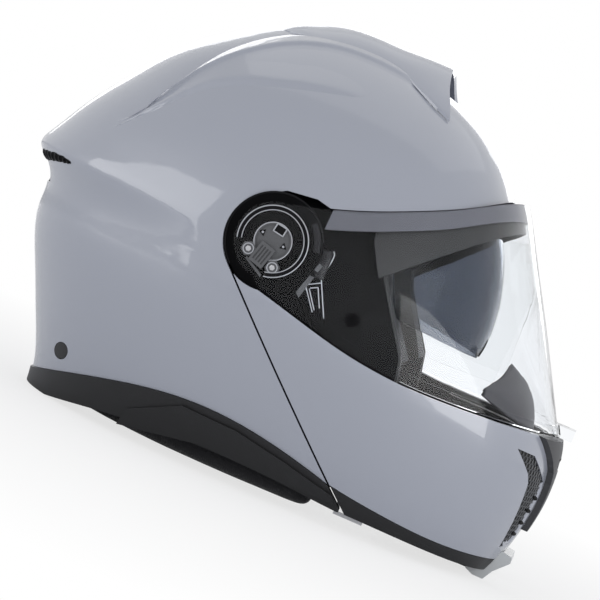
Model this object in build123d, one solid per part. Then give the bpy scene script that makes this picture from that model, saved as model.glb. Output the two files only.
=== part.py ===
from build123d import *
import math
import os

# Modular motorcycle helmet, millimetres. +X is forward, +Y is the wearer's left, +Z is up.
# Z = 0 is the surface the helmet stands on; X = 0 and Y = 0 are the middle of its box.

# Outer form of the shell
shell_height = 254.5
front_reach = 170.5
rear_reach = 174.0
half_width = 124.3
widest_x = -6.0
crown_x = -21.0
front_fullness = 2.4
rear_fullness = 2.0

# Rows of the outer form: height, front reach, rear reach and half width, as shares of the four sizes
form_row_shares = (
    (-0.047, 0.886, 0.724, 0.813),
    (0.016, 0.930, 0.733, 0.861),
    (0.079, 0.965, 0.753, 0.909),
    (0.157, 0.991, 0.802, 0.949),
    (0.236, 1.000, 0.853, 0.977),
    (0.306, 0.991, 0.899, 0.994),
    (0.369, 0.958, 0.925, 1.000),
    (0.420, 0.892, 0.927, 0.999),
    (0.452, 0.859, 0.940, 0.997),
    (0.479, 0.830, 0.971, 0.993),
    (0.505, 0.804, 1.000, 0.988),
    (0.542, 0.771, 0.980, 0.977),
    (0.593, 0.724, 0.938, 0.957),
    (0.652, 0.672, 0.885, 0.924),
    (0.723, 0.607, 0.809, 0.866),
    (0.798, 0.528, 0.724, 0.776),
    (0.861, 0.452, 0.631, 0.648),
    (0.912, 0.352, 0.526, 0.507),
    (0.955, 0.202, 0.420, 0.354),
    (0.982, 0.067, 0.307, 0.221),
    (0.996, -0.026, 0.218, 0.117),
)
mid_height_share = 0.369
crown_lean_share = 0.75
crown_share = 0.20

# Layers, as depths below the outer form
shell_wall = 3.4
plate_depth = 9.2
plate_wall = 2.4
frame_depth = 11.9
frame_wall = 3.0
liner_depth = 15.3
layer_gap = 0.4
section_steps = 20
rear_slot_share = 0.8
lever_room_share = 4
chin_wall = 3.2
chin_liner_wall = 4.6
chin_foam_wall = 14.0
trim_proud = 1.5
trim_wall = 5.5
cover_wall = 1.6

# Pivot
pivot_x = -15.0
pivot_z = 131.0
pivot_face = 122.3
pocket_radius = 27.3
# The visor is thinned on its inside where its rear corner passes the pocket's rim
relief_lead = 1.3
relief_reach = 3.5
relief_half_width = 119.0
seam_angle = 43.0
seam_gap = 1.0
arm_radius = 26.5
arm_wall = 2.6
bolt_radius = 4.0
running_gap = 0.05
hub_radius = 10.5
lug_radius = 21.5
lug_wall = 2.2
lug_sink = 2.3
boss_radius = 9.0
bolt_head_radius = 7.0
bolt_head_wall = 2.5

# Visor form, proud of the shell
visor_wall = 2.2
visor_front = 169.5
visor_rear = 163.7
visor_half_width = 126.8
visor_row_shares = (
    (0.306, 1.010, 0.970, 0.993),
    (0.369, 0.965, 0.999, 1.000),
    (0.420, 0.922, 1.000, 0.999),
    (0.479, 0.872, 1.000, 0.993),
    (0.542, 0.818, 0.990, 0.978),
    (0.593, 0.773, 0.965, 0.958),
    (0.652, 0.720, 0.929, 0.925),
    (0.723, 0.657, 0.868, 0.868),
    (0.798, 0.587, 0.782, 0.781),
    (0.861, 0.520, 0.690, 0.666),
)

# Head space and comfort lining
head_front = 80.0
head_rear = 120.0
head_half_width = 86.0
head_height = 216.0
comfort_wall = 8.0
head_foot_shares = (0.975, 0.925, 0.960)
head_row_shares = (
    (0.250, 1.000, 0.983, 1.000),
    (0.520, 0.975, 1.000, 1.000),
    (0.690, 0.900, 0.967, 0.950),
    (0.810, 0.750, 0.867, 0.840),
    (0.900, 0.525, 0.700, 0.650),
    (0.965, 0.225, 0.500, 0.410),
)

# Sun visor
sun_axis_x = -2.0
sun_axis_z = 124.0
sun_radius = 110.0
sun_half_width = 92.0
sun_wall = 1.8
sun_arm_face = 90.0
sun_arm_wall = 2.4
sun_pin_radius = 3.0

cut_run = 400.0
overrun = 5.0
hair = 0.3

# Side-view outlines, as shares of the rear reach and the shell height
brow_edge_shares = ((0.037, 0.626), (0.148, 0.653), (0.284, 0.694), (0.418, 0.742), (0.523, 0.796))
bump_shares = ((-0.109, 0.625), (-0.011, 0.633))
rim_shares = ((-0.80, 0.016), (-0.618, 0.058), (-0.398, 0.103), (-0.159, 0.133), (0.044, 0.131),
              (0.221, 0.110), (0.379, 0.081), (0.460, 0.063))
trim_foot_shares = ((-0.81, -0.02), (-0.606, 0.001), (-0.413, 0.027), (-0.052, 0.052),
                    (0.253, 0.046), (0.408, 0.037), (0.460, 0.035))
chin_rim_shares = ((0.300, 0.095), (0.384, 0.083), (0.539, 0.067), (0.744, 0.053), (0.904, 0.052),
                   (1.050, 0.052))
chin_foot_shares = ((0.300, 0.037), (0.540, 0.034), (0.760, 0.025), (0.920, 0.020), (1.050, 0.020))
visor_foot_shares = ((-0.069, 0.414), (0.084, 0.389), (0.230, 0.366), (0.437, 0.348), (0.632, 0.347),
                     (0.862, 0.353), (1.100, 0.353))
eyeport_shares = ((1.200, 0.735), (0.520, 0.735), (0.270, 0.560), (0.310, 0.495), (0.414, 0.389),
                  (0.460, 0.236), (0.494, -0.300), (1.200, -0.300))

# Shell
rear_slot_half_width = 34.0
rear_slot_low = 109.5
rear_slot_high = 120.5
port_front = 20.0
port_rear = -16.0
port_half_width = 15.0
port_depth = 30.0
plug_shares = (-0.608, 0.107)
plug_radius = 4.6
plug_wall = 2.0

# Top vent hood: stations along X, lift of its crest and half width, in shares
hood_station_shares = (-0.440, -0.330, -0.200, -0.060, 0.050, 0.130, 0.190, 0.260)
hood_lift_shares = (0.10, 0.26, 0.36, 0.44, 0.66, 0.90, 1.00, 1.05)
hood_width_shares = (0.40, 0.62, 0.68, 0.66, 0.74, 0.90, 0.98, 1.00)
hood_lift = 10.6
hood_half_width = 58.0
hood_wall = 2.4
hood_seat = 0.0
hood_tip_x = 26.0
hood_corner_x = 42.0
hood_step_count = 8
hood_trim_share = 0.96
hood_row_share = 0.64
hood_mid_x = 31.0
slider_x = -28.0
slider_length = 12.0
slider_width = 16.0
slider_wall = 1.6
slider_sink = 1.0
slider_ribs = 5
slider_level_share = 0.42
hood_roundness = 0.6
hood_top_share = 0.25
hood_foot_share = 0.05
mesh_wall = 1.2
mesh_bar = 1.6
mesh_height = 7.0
mesh_half_width = 14.7
mesh_columns = 14
mesh_rows = 3
rear_mesh_columns = 18
rear_row_share = 0.905

# Lower trim and intercom covers
trim_front_x = 73.0
cover_shares = ((-0.330, 0.020), (-0.316, 0.060), (-0.150, 0.118), (0.040, 0.115), (0.210, 0.094),
                (0.385, 0.066), (0.400, 0.050), (0.240, 0.050), (-0.050, 0.056))

# Frame and base plates behind the visor
plate_shares = ((-0.264, 0.660), (-0.264, 0.440), (0.330, 0.045), (0.480, 0.030), (0.455, 0.236),
                (0.409, 0.389), (0.305, 0.495), (0.190, 0.613), (0.230, 0.672), (0.050, 0.640))
frame_shares = ((-0.290, 0.690), (-0.290, 0.420), (0.300, 0.045), (0.490, 0.030), (0.460, 0.240),
                (0.414, 0.393), (0.310, 0.500), (0.198, 0.620), (0.245, 0.690), (0.050, 0.680))
plate_flat_radius = 62.0
frame_floor = 21.0
boss_height = 11.5

# Pivot mechanism
bolt_reach = 1.2
arm_leg_length = 62.0
arm_leg_width = 26.0
hub_height = 3.1
hub_rim = 1.2
hub_dish = 0.8
slide_turn = 254.0
slide_width = 9.0
slide_inner = 3.0
slide_outer = 15.5
slide_wall = 1.4
slide_ribs = 5
slider_travel = 6.0

# Chin bar
visor_gap = 1.5
chin_foam_rear = 96.0
chin_foam_floor = 22.0
intake_proud = 3.6
intake_slot_half_width = 15.0
intake_slot_low = 71.0
intake_slot_high = 79.0
intake_shares = ((0.440, 0.352), (0.325, 0.314), (0.205, 0.276), (0.172, 0.250), (0.110, 0.132))
grille_shares = ((0.318, 0.307), (0.425, 0.303), (0.577, 0.248), (0.593, 0.231), (0.580, 0.099),
                 (0.502, 0.084), (0.448, 0.242), (0.422, 0.262))
grille_sink = 1.4
corner_angle = 45.0
shutter_wall = 2.0
shutter_face = 165.1
shutter_travel = 5.5
shutter_tab_reach = 7.5
shutter_tab_half_width = 5.0
shutter_tab_wall = 1.5

# Chin tip, lower trim and release lever
tip_shares = ((0.845, 0.008), (0.874, 0.000), (0.910, 0.000), (0.930, 0.024), (0.974, 0.055),
              (0.971, 0.069), (0.900, 0.078), (0.845, 0.050))
tip_half_width = 24.0
lever_length = 22.0
lever_half_width = 17.0
lever_low = 1.8
lever_wall = 3.0
lever_pin_radius = 1.5
lever_barrel_radius = 2.8

# Visor
visor_crest_shares = ((0.037, 0.622), (0.148, 0.649), (0.284, 0.690), (0.418, 0.738), (0.523, 0.784),
                      (0.575, 0.802), (0.700, 0.830))
lip_height = 5.5
lip_proud = 1.6
tab_half_width = 13.0
tab_reach = 174.0
tab_height = 6.5
pin_x = 41.0
pin_z = 109.0
pin_radius = 4.0
pin_reach = 3.4
collar_wall = 1.6
tab_root_share = 0.965
pin_proud = 1.0
pinlock_gap = 1.0
pinlock_wall = 1.2
pinlock_shares = ((0.330, 0.415), (0.265, 0.415), (0.262, 0.445), (0.330, 0.470), (0.330, 0.580),
                  (0.420, 0.700), (0.620, 0.720), (1.050, 0.720), (1.050, 0.420))
seal_gap = 0.7
seal_wall = 4.6
seal_height = 11.0
seal_rear = 8.0
visor_drop_share = 0.002
lining_depth = 7.8
lining_wall = 2.0
lining_shares = ((0.195, 0.760), (0.195, 0.600), (0.255, 0.530), (0.530, 0.705), (1.000, 0.950),
                 (1.000, 0.990))

# Sun visor
sun_low_turn = -6.0
sun_span_turn = 40.0
sun_fullness = 2.2
sun_boss_radius = 8.0
sun_steps = 8
nose_half_width = 24.0
nose_height = 12.0
sun_pin_reach = 4.0

# Energy-absorbing foam
liner_floor = 21.2
cheek_rear = -42.0
cheek_outer = 83.7
cheek_pocket_half_width = 86.4
cheek_top = 96.0
cheek_gap = 1.0
strap_channel_depth = 9.0
strap_channel_top = 42.0
block_front = -52.0
block_floor = 37.0
sun_pocket_grow = 1.2
sun_pocket_low_turn = -12.0
sun_pocket_span_turn = 94.0
cable_radius = 1.3
cable_gap = 0.5
cable_places = ((-52.5, 97.5, 17.0), (-53.5, 96.5, 28.0), (-46.0, 96.0, 50.0), (-40.0, 97.0, 80.0),
                (-22.0, 98.5, 112.0), (-4.0, 98.2, 124.0))

# Comfort lining
crown_pad_shares = ((-0.900, 0.300), (-0.300, 0.300), (-0.262, 0.480), (0.200, 0.600), (0.620, 0.720),
                    (0.620, 1.200), (-0.900, 1.200))
cheek_pad_shares = ((-0.240, 0.110), (-0.215, 0.081), (0.330, 0.081), (0.395, 0.110), (0.420, 0.210),
                    (0.385, 0.330), (0.330, 0.374), (-0.200, 0.374), (-0.240, 0.345))
cheek_inner = 62.0
cheek_dome_radius = 92.0
roll_depth = 18.0
roll_width = 24.0
roll_floor = 0.8
roll_top = 15.8
roll_front = 58.0
roll_fillet = 5.0

# Link and striker
needle_shares = ((0.070, 0.510), (0.082, 0.506), (0.046, 0.412), (0.028, 0.413))
needle_wall = 1.1
needle_sink = 0.1
striker_x = 82.0
striker_z = 10.0
striker_radius = 2.0
striker_face = 87.0
striker_reach = 7.0
striker_wall = 2.0
striker_rear = 70.0
striker_front = 87.0
striker_floor = 6.5
hook_x = 96.0
hook_z = 15.5
hook_pin_radius = 1.8
hook_boss_radius = 4.5
hook_wall = 4.0
hook_gap = 0.5
hook_finger = 3.4

# Chin strap, centred on its own station along X
strap_x = -8.0
strap_width = 22.0
strap_wall = 1.8
strap_steps = 60
strap_top = 64.0
strap_bend = 17.6
strap_inner = 60.0
strap_mid_y = 36.0
strap_mid_z = 12.5
strap_low = 9.4
strap_end_right = 26.0
strap_end_left = 12.0
rivet_z = 58.0
rivet_radius = 4.5
rivet_wall = 1.2
rivet_stem_radius = 2.5

# Buckle
receiver_length = 36.0
receiver_width = 24.0
receiver_low = 5.4
receiver_high = 13.6
receiver_wall = 1.4
receiver_back = 4.2
tooth_start = 8.4
tooth_share = 0.9
receiver_overlap = 1
tongue_width = 17.0
tongue_wall = 2.0
tongue_length = 44.0
tongue_teeth = 9
tooth_height = 1.0
lever_plate_length = 20.0
lever_plate_width = 15.0
lever_plate_wall = 1.6
lever_plate_pin_radius = 0.9
lever_knuckle_radius = 1.4
ear_wall = 2.0
ear_half_length = 2.2

# Sun visor slider
rail_rear = -50.5
rail_front = 4.0
rail_inner = 94.4
rail_outer = 100.2
rail_root = 104.5
rail_floor = 13.5
rail_roof = 19.0
knob_rear = -46.0
knob_length = 16.0
knob_floor = 4.5
knob_rib_depth = 1.0
knob_ribs = 4
rail_end_wall = 2.7
knob_wall = 2.8

# Breath deflector and chin curtain
deflector_axis_x = 70.0
deflector_turn = 38.0
deflector_wall = 2.2
deflector_steps = 12
swing_radius = 135.0
deflector_shares = ((0.868, 0.340), (0.845, 0.425), (0.757, 0.474), (0.650, 0.454))
curtain_wall = 1.6
curtain_depth = 22.9
curtain_reach = 26.0


def side(x_share, z_share):
    """A place in the side view, as shares of the rear reach and the shell height."""
    return (x_share * rear_reach, z_share * shell_height)


def section(row, inset, front, rear, width, height, to_crown):
    """Closed level section of a helmet form, drawn in by an inset."""
    height_share, front_share, rear_share, width_share = row
    level = height_share * height
    middle = mid_height_share * height
    if to_crown and level > middle:
        level = middle + (level - middle) * (height - inset - middle) / (height - middle)
    lean = max(0, (height_share - crown_lean_share) / (1 - crown_lean_share)) ** 1.5
    centre = widest_x + (crown_x - widest_x) * lean
    ahead = (front_share * front - centre) * (1 - inset / (front - widest_x))
    behind = (rear_share * rear + centre) * (1 - inset / (rear + widest_x))
    across = width_share * width * (1 - inset / width)
    places = []
    steps = section_steps
    for k in range(steps):
        turn = 2 * math.pi * k / steps
        c = -math.cos(turn)
        s = math.sin(turn)
        power = front_fullness if c > 0 else rear_fullness
        size = (abs(c) ** power + abs(s) ** power) ** (-1 / power)
        reach = ahead if c > 0 else behind
        places.append((centre + reach * size * c, across * size * s, level))
    return Wire([Spline(*places, periodic=True)])


def loft_rows(rows, inset, front, rear, width, height):
    """Solid lofted through level sections; it closes at the crown if the rows reach it."""
    to_crown = rows[-1][0] > crown_lean_share + crown_share
    wires = [section(row, inset, front, rear, width, height, to_crown) for row in rows]
    if to_crown:
        wires.append(Vertex(crown_x, 0, height - inset))
    return Solid.make_loft(wires)


def skin_between(outer, inner):
    """Wall between two nested lofts whose flat ends share their levels."""
    walls = [f for s in (outer, inner) for f in s.faces() if f.geom_type != GeomType.PLANE]
    outer_ends = [f for f in outer.faces() if f.geom_type == GeomType.PLANE]
    inner_ends = [f for f in inner.faces() if f.geom_type == GeomType.PLANE]
    for end in outer_ends:
        mate = min(inner_ends, key=lambda f: abs(f.center().Z - end.center().Z))
        walls.append(Face(end.outer_wire(), [mate.outer_wire()]))
    return Solid(Shell(walls))


def rows_between(rows, low_share, high_share):
    return tuple(row for row in rows if low_share <= row[0] <= high_share)


def form_skin(outer_inset, inner_inset, low_share=-1, high_share=1):
    """Wall of the shell's form between two depths, over a span of heights."""
    rows = rows_between(form_row_shares, low_share, high_share)
    outer = loft_rows(rows, outer_inset, front_reach, rear_reach, half_width, shell_height)
    inner = loft_rows(rows, inner_inset, front_reach, rear_reach, half_width, shell_height)
    return skin_between(outer, inner)


def prism(line):
    """Closed side-view outline run right through the helmet along Y."""
    return extrude(Plane.XZ * make_face(line), amount=cut_run / 2, both=True)


def side_prism(*shares):
    return prism(Polyline(*[side(*p) for p in shares], close=True))


def cylinder_y(x, z, radius, y_from, y_to):
    """Cylinder along Y between two stations."""
    length = y_to - y_from
    return Pos(x, (y_from + y_to) / 2, z) * Rot(90, 0, 0) * Cylinder(radius, length)


def block(x_from, x_to, y_from, y_to, z_from, z_to):
    size = (x_to - x_from, y_to - y_from, z_to - z_from)
    middle = ((x_from + x_to) / 2, (y_from + y_to) / 2, (z_from + z_to) / 2)
    return Pos(*middle) * Box(*size)


def left_half(shape):
    return shape & block(-cut_run, cut_run, 0, cut_run, -cut_run, cut_run)


def mirrored(shape):
    return mirror(shape, Plane.XZ)


def seam_point(radius, along):
    """Point on the line at one distance from the pivot that runs down along the seam."""
    lean = math.radians(seam_angle)
    x = pivot_x - radius * math.sin(lean) + along * math.cos(lean)
    z = pivot_z - radius * math.cos(lean) - along * math.sin(lean)
    return (x, z)


def pivot_point(radius, degrees):
    turn = math.radians(degrees)
    return (pivot_x + radius * math.cos(turn), pivot_z + radius * math.sin(turn))


def front_zone():
    """Everything ahead of the shell's front edge: seam line, pivot pocket and brow."""
    far = 2 * pocket_radius + rear_reach
    low = seam_point(pocket_radius, far)
    turn_in = seam_point(pocket_radius, 0)
    over = pivot_point(pocket_radius, 104)
    seam = Line(low, turn_in)
    pocket = ThreePointArc(turn_in, (pivot_x - pocket_radius, pivot_z), over)
    bump = Polyline(over, side(*bump_shares[0]), side(*bump_shares[1]), side(*brow_edge_shares[0]))
    brow = Spline(*[side(*p) for p in brow_edge_shares])
    ahead = Polyline(side(*brow_edge_shares[-1]), side(1.7, 1.35), side(1.7, -0.4), low)
    return prism(seam + pocket + bump + brow + ahead)


def below_line(shares, drop=0):
    """Everything under a side-view line."""
    points = [side(*p) for p in shares]
    points = [(x, z - drop) for x, z in points]
    first = points[0]
    last = points[-1]
    floor = -shell_height / 2
    line = Spline(*points)
    back = Polyline(last, (last[0], floor), (first[0] - rear_reach, floor), (first[0] - rear_reach, first[1]),
                    first)
    return prism(line + back)


def visor_skin(outer_inset, inner_inset):
    """Wall of the visor's form between two depths."""
    outer = loft_rows(visor_row_shares, outer_inset, visor_front, visor_rear, visor_half_width, shell_height)
    inner = loft_rows(visor_row_shares, inner_inset, visor_front, visor_rear, visor_half_width, shell_height)
    return skin_between(outer, inner)


def head_rows():
    """Rows of the head space, with a foot on the same level as the outer form's foot."""
    foot_share = form_row_shares[0][0] * shell_height / head_height
    return ((foot_share,) + head_foot_shares,) + head_row_shares


def head_loft(inset):
    return loft_rows(head_rows(), inset, head_front, head_rear, head_half_width, head_height)


def level_between(low, high):
    return block(-cut_run, cut_run, -cut_run, cut_run, low, high)


def reach_between(low, high):
    """Everything between two stations along Y."""
    return block(-cut_run, cut_run, low, high, -cut_run, cut_run)


def row_values(level):
    """Front reach, rear reach and half width of the outer form at a level."""
    share = level / shell_height
    rows = form_row_shares + ((1.0, crown_x / front_reach, -crown_x / rear_reach, 0.0),)
    for low, high in zip(rows, rows[1:]):
        if share <= high[0]:
            part = (share - low[0]) / (high[0] - low[0])
            return [a + part * (b - a) for a, b in zip(low[1:], high[1:])]
    return rows[-1][1:]


def half_width_at(x, level):
    """Half width of the outer form at a station and level, negative outside it."""
    ahead, behind, across = row_values(level)
    lean = max(0, (level / shell_height - crown_lean_share) / (1 - crown_lean_share)) ** 1.5
    centre = widest_x + (crown_x - widest_x) * lean
    if x > centre:
        share = (x - centre) / (ahead * front_reach - centre)
        power = front_fullness
    else:
        share = (centre - x) / (behind * rear_reach + centre)
        power = rear_fullness
    if share >= 1:
        return -1
    return across * half_width * (1 - share ** power) ** (1 / power)


def surface_height(x, y):
    """Height of the outer form's upper side over a place in plan."""
    low = mid_height_share * shell_height
    high = shell_height
    for _ in range(40):
        level = (low + high) / 2
        if half_width_at(x, level) > abs(y):
            low = level
        else:
            high = level
    return low


def make_outer_shell():
    wall = form_skin(0, shell_wall)
    wall = wall - front_zone()
    wall = wall - below_line(rim_shares)
    slot = block(-rear_reach - overrun, -rear_reach / 2, -rear_slot_half_width, rear_slot_half_width,
                 rear_slot_low, rear_slot_high)
    port = block(port_rear, port_front, -port_half_width, port_half_width, shell_height - port_depth,
                 shell_height + overrun)
    plug_x, plug_z = side(*plug_shares)
    plug_hole = cylinder_y(plug_x, plug_z, plug_radius + hair, -half_width, half_width)
    return biggest(wall - slot - port - plug_hole)


def biggest(shape):
    """The largest solid of a shape, without slivers that a cut leaves."""
    return max(shape.solids(), key=lambda s: s.volume)


def make_rear_side_plug():
    plug_x, plug_z = side(*plug_shares)
    rod = cylinder_y(plug_x, plug_z, plug_radius, 0, half_width)
    return biggest(lower_skin(-hair, plug_wall) & rod)


def hood_section(station_share, lift_share, width_share):
    """Closed arch across the helmet, standing off the shell more towards its crest."""
    x = station_share * rear_reach
    wide = width_share * hood_half_width
    crest = lift_share * hood_lift
    outer = []
    inner = []
    for k in range(hood_step_count + 1):
        part = -1 + 2 * k / hood_step_count
        rise = crest * (1 - part * part) ** hood_roundness
        base = surface_height(x, part * wide) + hood_seat
        outer.append((x, part * wide, base + rise + hood_wall * hood_top_share))
        inner.append((x, part * wide, base + max(0, rise - hood_wall) - hood_wall * hood_foot_share))
    top = Spline(*outer)
    under = Spline(*inner[::-1])
    return Wire([top, Line(outer[-1], inner[-1]), under, Line(inner[0], outer[0])])


def hood_plan():
    """Plan outline of the hood: round tail, flared sides and a swept front edge."""
    right = [(s * rear_reach, w * hood_half_width * hood_trim_share)
             for s, w in zip(hood_station_shares[1:-1], hood_width_shares[1:-1])]
    tail = (hood_station_shares[0] * rear_reach * hood_trim_share, 0)
    corner = (hood_corner_x, hood_half_width * hood_trim_share)
    flank = Spline(tail, *right, corner, tangents=((0, 1), (1, 0.2)))
    front = ThreePointArc(corner, (hood_mid_x, hood_half_width / 2), (hood_tip_x, 0))
    half = flank + front
    return extrude(make_face(half + mirror(half, Plane.XZ)), amount=cut_run)


def make_top_vent_hood():
    wires = [hood_section(*shares) for shares in
             zip(hood_station_shares, hood_lift_shares, hood_width_shares)]
    hood = Solid.make_loft(wires) & hood_plan()
    x_from, x_to, level = slider_seat()
    seat = block(x_from, x_to + slider_travel, -slider_width / 2 - hair, slider_width / 2 + hair,
                 level - slider_wall, level + hood_lift)
    rows = rows_between(form_row_shares, hood_row_share, 1)
    core = loft_rows(rows, -hair, front_reach, rear_reach, half_width, shell_height)
    return biggest(hood - seat - core)


def slider_seat():
    """Where the top vent slider rests in the hood: rear and front ends, and the level of its foot."""
    crest = surface_height(slider_x, 0) + hood_seat + hood_lift * slider_level_share
    return (slider_x - hair, slider_x + slider_length + hair, crest - slider_sink)


def make_top_vent_slider():
    x_from, x_to, level = slider_seat()
    pad = block(x_from + hair, x_to - hair, -slider_width / 2, slider_width / 2, level - slider_wall + hair,
                level + slider_wall / 2)
    pitch = slider_length / slider_ribs
    for k in range(slider_ribs - 1):
        x = x_from + hair + (k + 1) * pitch
        pad = pad - block(x - pitch / 6, x + pitch / 6, -slider_width / 2 + pitch, slider_width / 2 - pitch,
                          level, level + slider_wall)
    return pad


def grid_plate(x_from, x_to, y_from, y_to, z_from, z_to, columns, rows):
    """Flat net in the YZ plane with square openings."""
    plate = block(x_from, x_to, y_from, y_to, z_from, z_to)
    step_y = (y_to - y_from - mesh_bar) / columns
    step_z = (z_to - z_from - mesh_bar) / rows
    holes = []
    for i in range(columns):
        for j in range(rows):
            y = y_from + mesh_bar + i * step_y
            z = z_from + mesh_bar + j * step_z
            holes.append(block(x_from - mesh_bar, x_to + mesh_bar, y, y + step_y - mesh_bar,
                               z, z + step_z - mesh_bar))
    return plate - holes


def make_top_vent_mesh():
    low = surface_height(port_rear, 0) - shell_wall * 2
    high = low + mesh_height
    return grid_plate(port_rear / 4, port_rear / 4 + mesh_wall, -mesh_half_width, mesh_half_width, low, high,
                      mesh_columns, mesh_rows)


def make_rear_vent_mesh():
    x = -rear_reach * rear_row_share + (shell_wall - mesh_wall) / 2
    return grid_plate(x, x + mesh_wall, -rear_slot_half_width + hair, rear_slot_half_width - hair,
                      rear_slot_low + hair, rear_slot_high - hair, rear_mesh_columns, mesh_rows)


def lower_skin(outer_inset, inner_inset):
    return form_skin(outer_inset, inner_inset, -1, 0.307)


def ahead_of_seam(edge):
    """Side-view zone ahead of the line where the chin bar meets the shell."""
    return prism(Polyline(seam_point(edge, 2 * rear_reach), seam_point(edge, 0), (rear_reach, shell_height),
                          (2 * rear_reach, -shell_height), close=True))


def make_lower_trim():
    band = lower_skin(-trim_proud, trim_wall) & below_line(rim_shares, hair)
    band = band - below_line(trim_foot_shares)
    band = band & block(-cut_run, trim_front_x, -cut_run, cut_run, 0, shell_height)
    band = band - ahead_of_seam(pocket_radius)
    band = band + make_slider_rail()
    return biggest(band)


def make_intercom_cover():
    cover = lower_skin(-cover_wall - trim_proud - hair, -trim_proud - hair) & side_prism(*cover_shares)
    return biggest(left_half(cover))


def lug_face():
    return pivot_face - lug_sink


def arm_face():
    return lug_face() - lug_wall - hair


def boss_face():
    return arm_face() - arm_wall - layer_gap


def make_base_plate():
    plate = form_skin(plate_depth, plate_depth + plate_wall) & side_prism(*plate_shares)
    plate = left_half(plate) & level_between(frame_floor, shell_height)
    dish = cylinder_y(pivot_x, pivot_z, plate_flat_radius, boss_face(), half_width)
    hole = cylinder_y(pivot_x, pivot_z, boss_radius + hair, 0, half_width)
    pocket = needle_prism(running_gap) & reach_between(boss_face() - needle_sink - needle_wall - running_gap,
                                                       half_width)
    return biggest(plate - dish - hole - pocket)


def make_side_frame():
    frame = form_skin(frame_depth, frame_depth + frame_wall) & side_prism(*frame_shares)
    frame = biggest(left_half(frame) & level_between(frame_floor, shell_height))
    clearance = cylinder_y(pivot_x, pivot_z, boss_radius, boss_face() - layer_gap, half_width)
    boss = cylinder_y(pivot_x, pivot_z, boss_radius, boss_face() - boss_height, boss_face())
    bore = cylinder_y(pivot_x, pivot_z, bolt_radius + running_gap, 0, half_width)
    return biggest((frame - clearance) + boss - bore)


def make_pivot_bolt():
    foot = boss_face() - boss_height
    shaft = cylinder_y(pivot_x, pivot_z, bolt_radius, foot - bolt_head_wall, arm_face() + bolt_reach)
    head = cylinder_y(pivot_x, pivot_z, bolt_head_radius, foot - bolt_head_wall, foot)
    return shaft + head


def make_arm_plate():
    disc = cylinder_y(pivot_x, pivot_z, arm_radius, arm_face() - arm_wall, arm_face())
    edge = pocket_radius - seam_gap
    corners = [seam_point(edge, 0), seam_point(edge, arm_leg_length),
               seam_point(edge - arm_leg_width, arm_leg_length), seam_point(edge - arm_leg_width, 0)]
    leg = prism(Polyline(*corners, close=True)) & reach_between(arm_face() - arm_wall, arm_face())
    bore = cylinder_y(pivot_x, pivot_z, bolt_radius + running_gap, 0, half_width)
    return disc + leg - bore


def make_pivot_hub():
    top = arm_face() + hub_height
    hub = cylinder_y(pivot_x, pivot_z, hub_radius, arm_face(), top)
    dish = cylinder_y(pivot_x, pivot_z, hub_radius - hub_rim, top - hub_dish, top)
    bore = cylinder_y(pivot_x, pivot_z, bolt_radius + running_gap, 0, arm_face() + bolt_reach + hair)
    return hub - dish - bore


def slide_turn_vectors():
    turn = math.radians(slide_turn)
    return (math.cos(turn), math.sin(turn)), (-math.sin(turn), math.cos(turn))


def along_slide(near, far, width):
    """Prism in the side view that runs away from the pivot along the slide."""
    ahead, across = slide_turn_vectors()
    corners = []
    for reach, shift in ((near, -width / 2), (far, -width / 2), (far, width / 2), (near, width / 2)):
        corners.append((pivot_x + reach * ahead[0] + shift * across[0],
                        pivot_z + reach * ahead[1] + shift * across[1]))
    return prism(Polyline(*corners, close=True))


def make_visor_release_slide():
    low = arm_face() + hub_height + hair
    high = low + slide_wall
    pad = along_slide(slide_inner, slide_outer, slide_width) & reach_between(low, high)
    pitch = slide_width / slide_ribs
    across = slide_turn_vectors()[1]
    groove = along_slide(slide_inner + pitch, slide_outer - pitch, pitch / 2)
    groove = groove & reach_between(high - slide_wall / 2, high + overrun)
    for k in range(slide_ribs - 1):
        shift = (k - (slide_ribs - 2) / 2) * pitch
        pad = pad - Pos(shift * across[0], 0, shift * across[1]) * groove
    return pad


def chin_zone(low_shares, drop=0):
    """Side-view zone of the chin bar, between the seam, the visor's lower edge and a lower line."""
    top = [side(*p) for p in visor_foot_shares]
    top = [(x, z - visor_gap - drop) for x, z in top]
    edge = pocket_radius - seam_gap
    rear_low = seam_point(edge, 2 * rear_reach)
    rear_high = seam_point(edge, -overrun)
    outline = Polyline(rear_low, rear_high, top[0])
    ahead = Polyline(top[-1], (top[-1][0], rear_low[1]), rear_low)
    zone = prism(outline + Spline(*top) + ahead) - below_line(low_shares)
    return zone - cylinder_y(pivot_x, pivot_z, pocket_radius, -cut_run, cut_run)


def chin_skin(outer_inset, inner_inset):
    return form_skin(outer_inset, inner_inset, -1, 0.46)


def intake_prism(margin):
    """Central intake outline seen from the front, run along X through the chin."""
    right = [(y * half_width, z * shell_height) for y, z in intake_shares]
    points = [(right[0][0], right[0][1] + overrun)] + right
    points = points + [(-y, z) for y, z in reversed(points)]
    outline = make_face(Polyline(*points, close=True))
    if margin:
        outline = offset(outline, margin, kind=Kind.INTERSECTION)
    ahead = block(front_reach / 2, cut_run, -cut_run, cut_run, -cut_run, cut_run)
    return extrude(Plane.YZ * outline, amount=cut_run) & ahead


def grille_prism(margin):
    """Side intake outline, seen square to the chin's left corner and run into it."""
    points = [(u * rear_reach, z * shell_height) for u, z in grille_shares]
    outline = make_face(Polyline(*points, close=True))
    if margin:
        outline = offset(outline, margin, kind=Kind.INTERSECTION)
    lean = math.radians(corner_angle)
    plane = Plane(origin=(0, 0, 0), x_dir=(math.sin(lean), math.cos(lean), 0),
                  z_dir=(math.cos(lean), -math.sin(lean), 0))
    return mirrored(extrude(plane * outline, amount=cut_run))


def make_chin_bar_shell():
    wall = chin_skin(0, chin_wall) & chin_zone(chin_rim_shares)
    wall = wall - intake_prism(hair)
    wall = wall - grille_prism(0) - mirrored(grille_prism(0))
    return biggest(wall - tip_block(hair))


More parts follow.
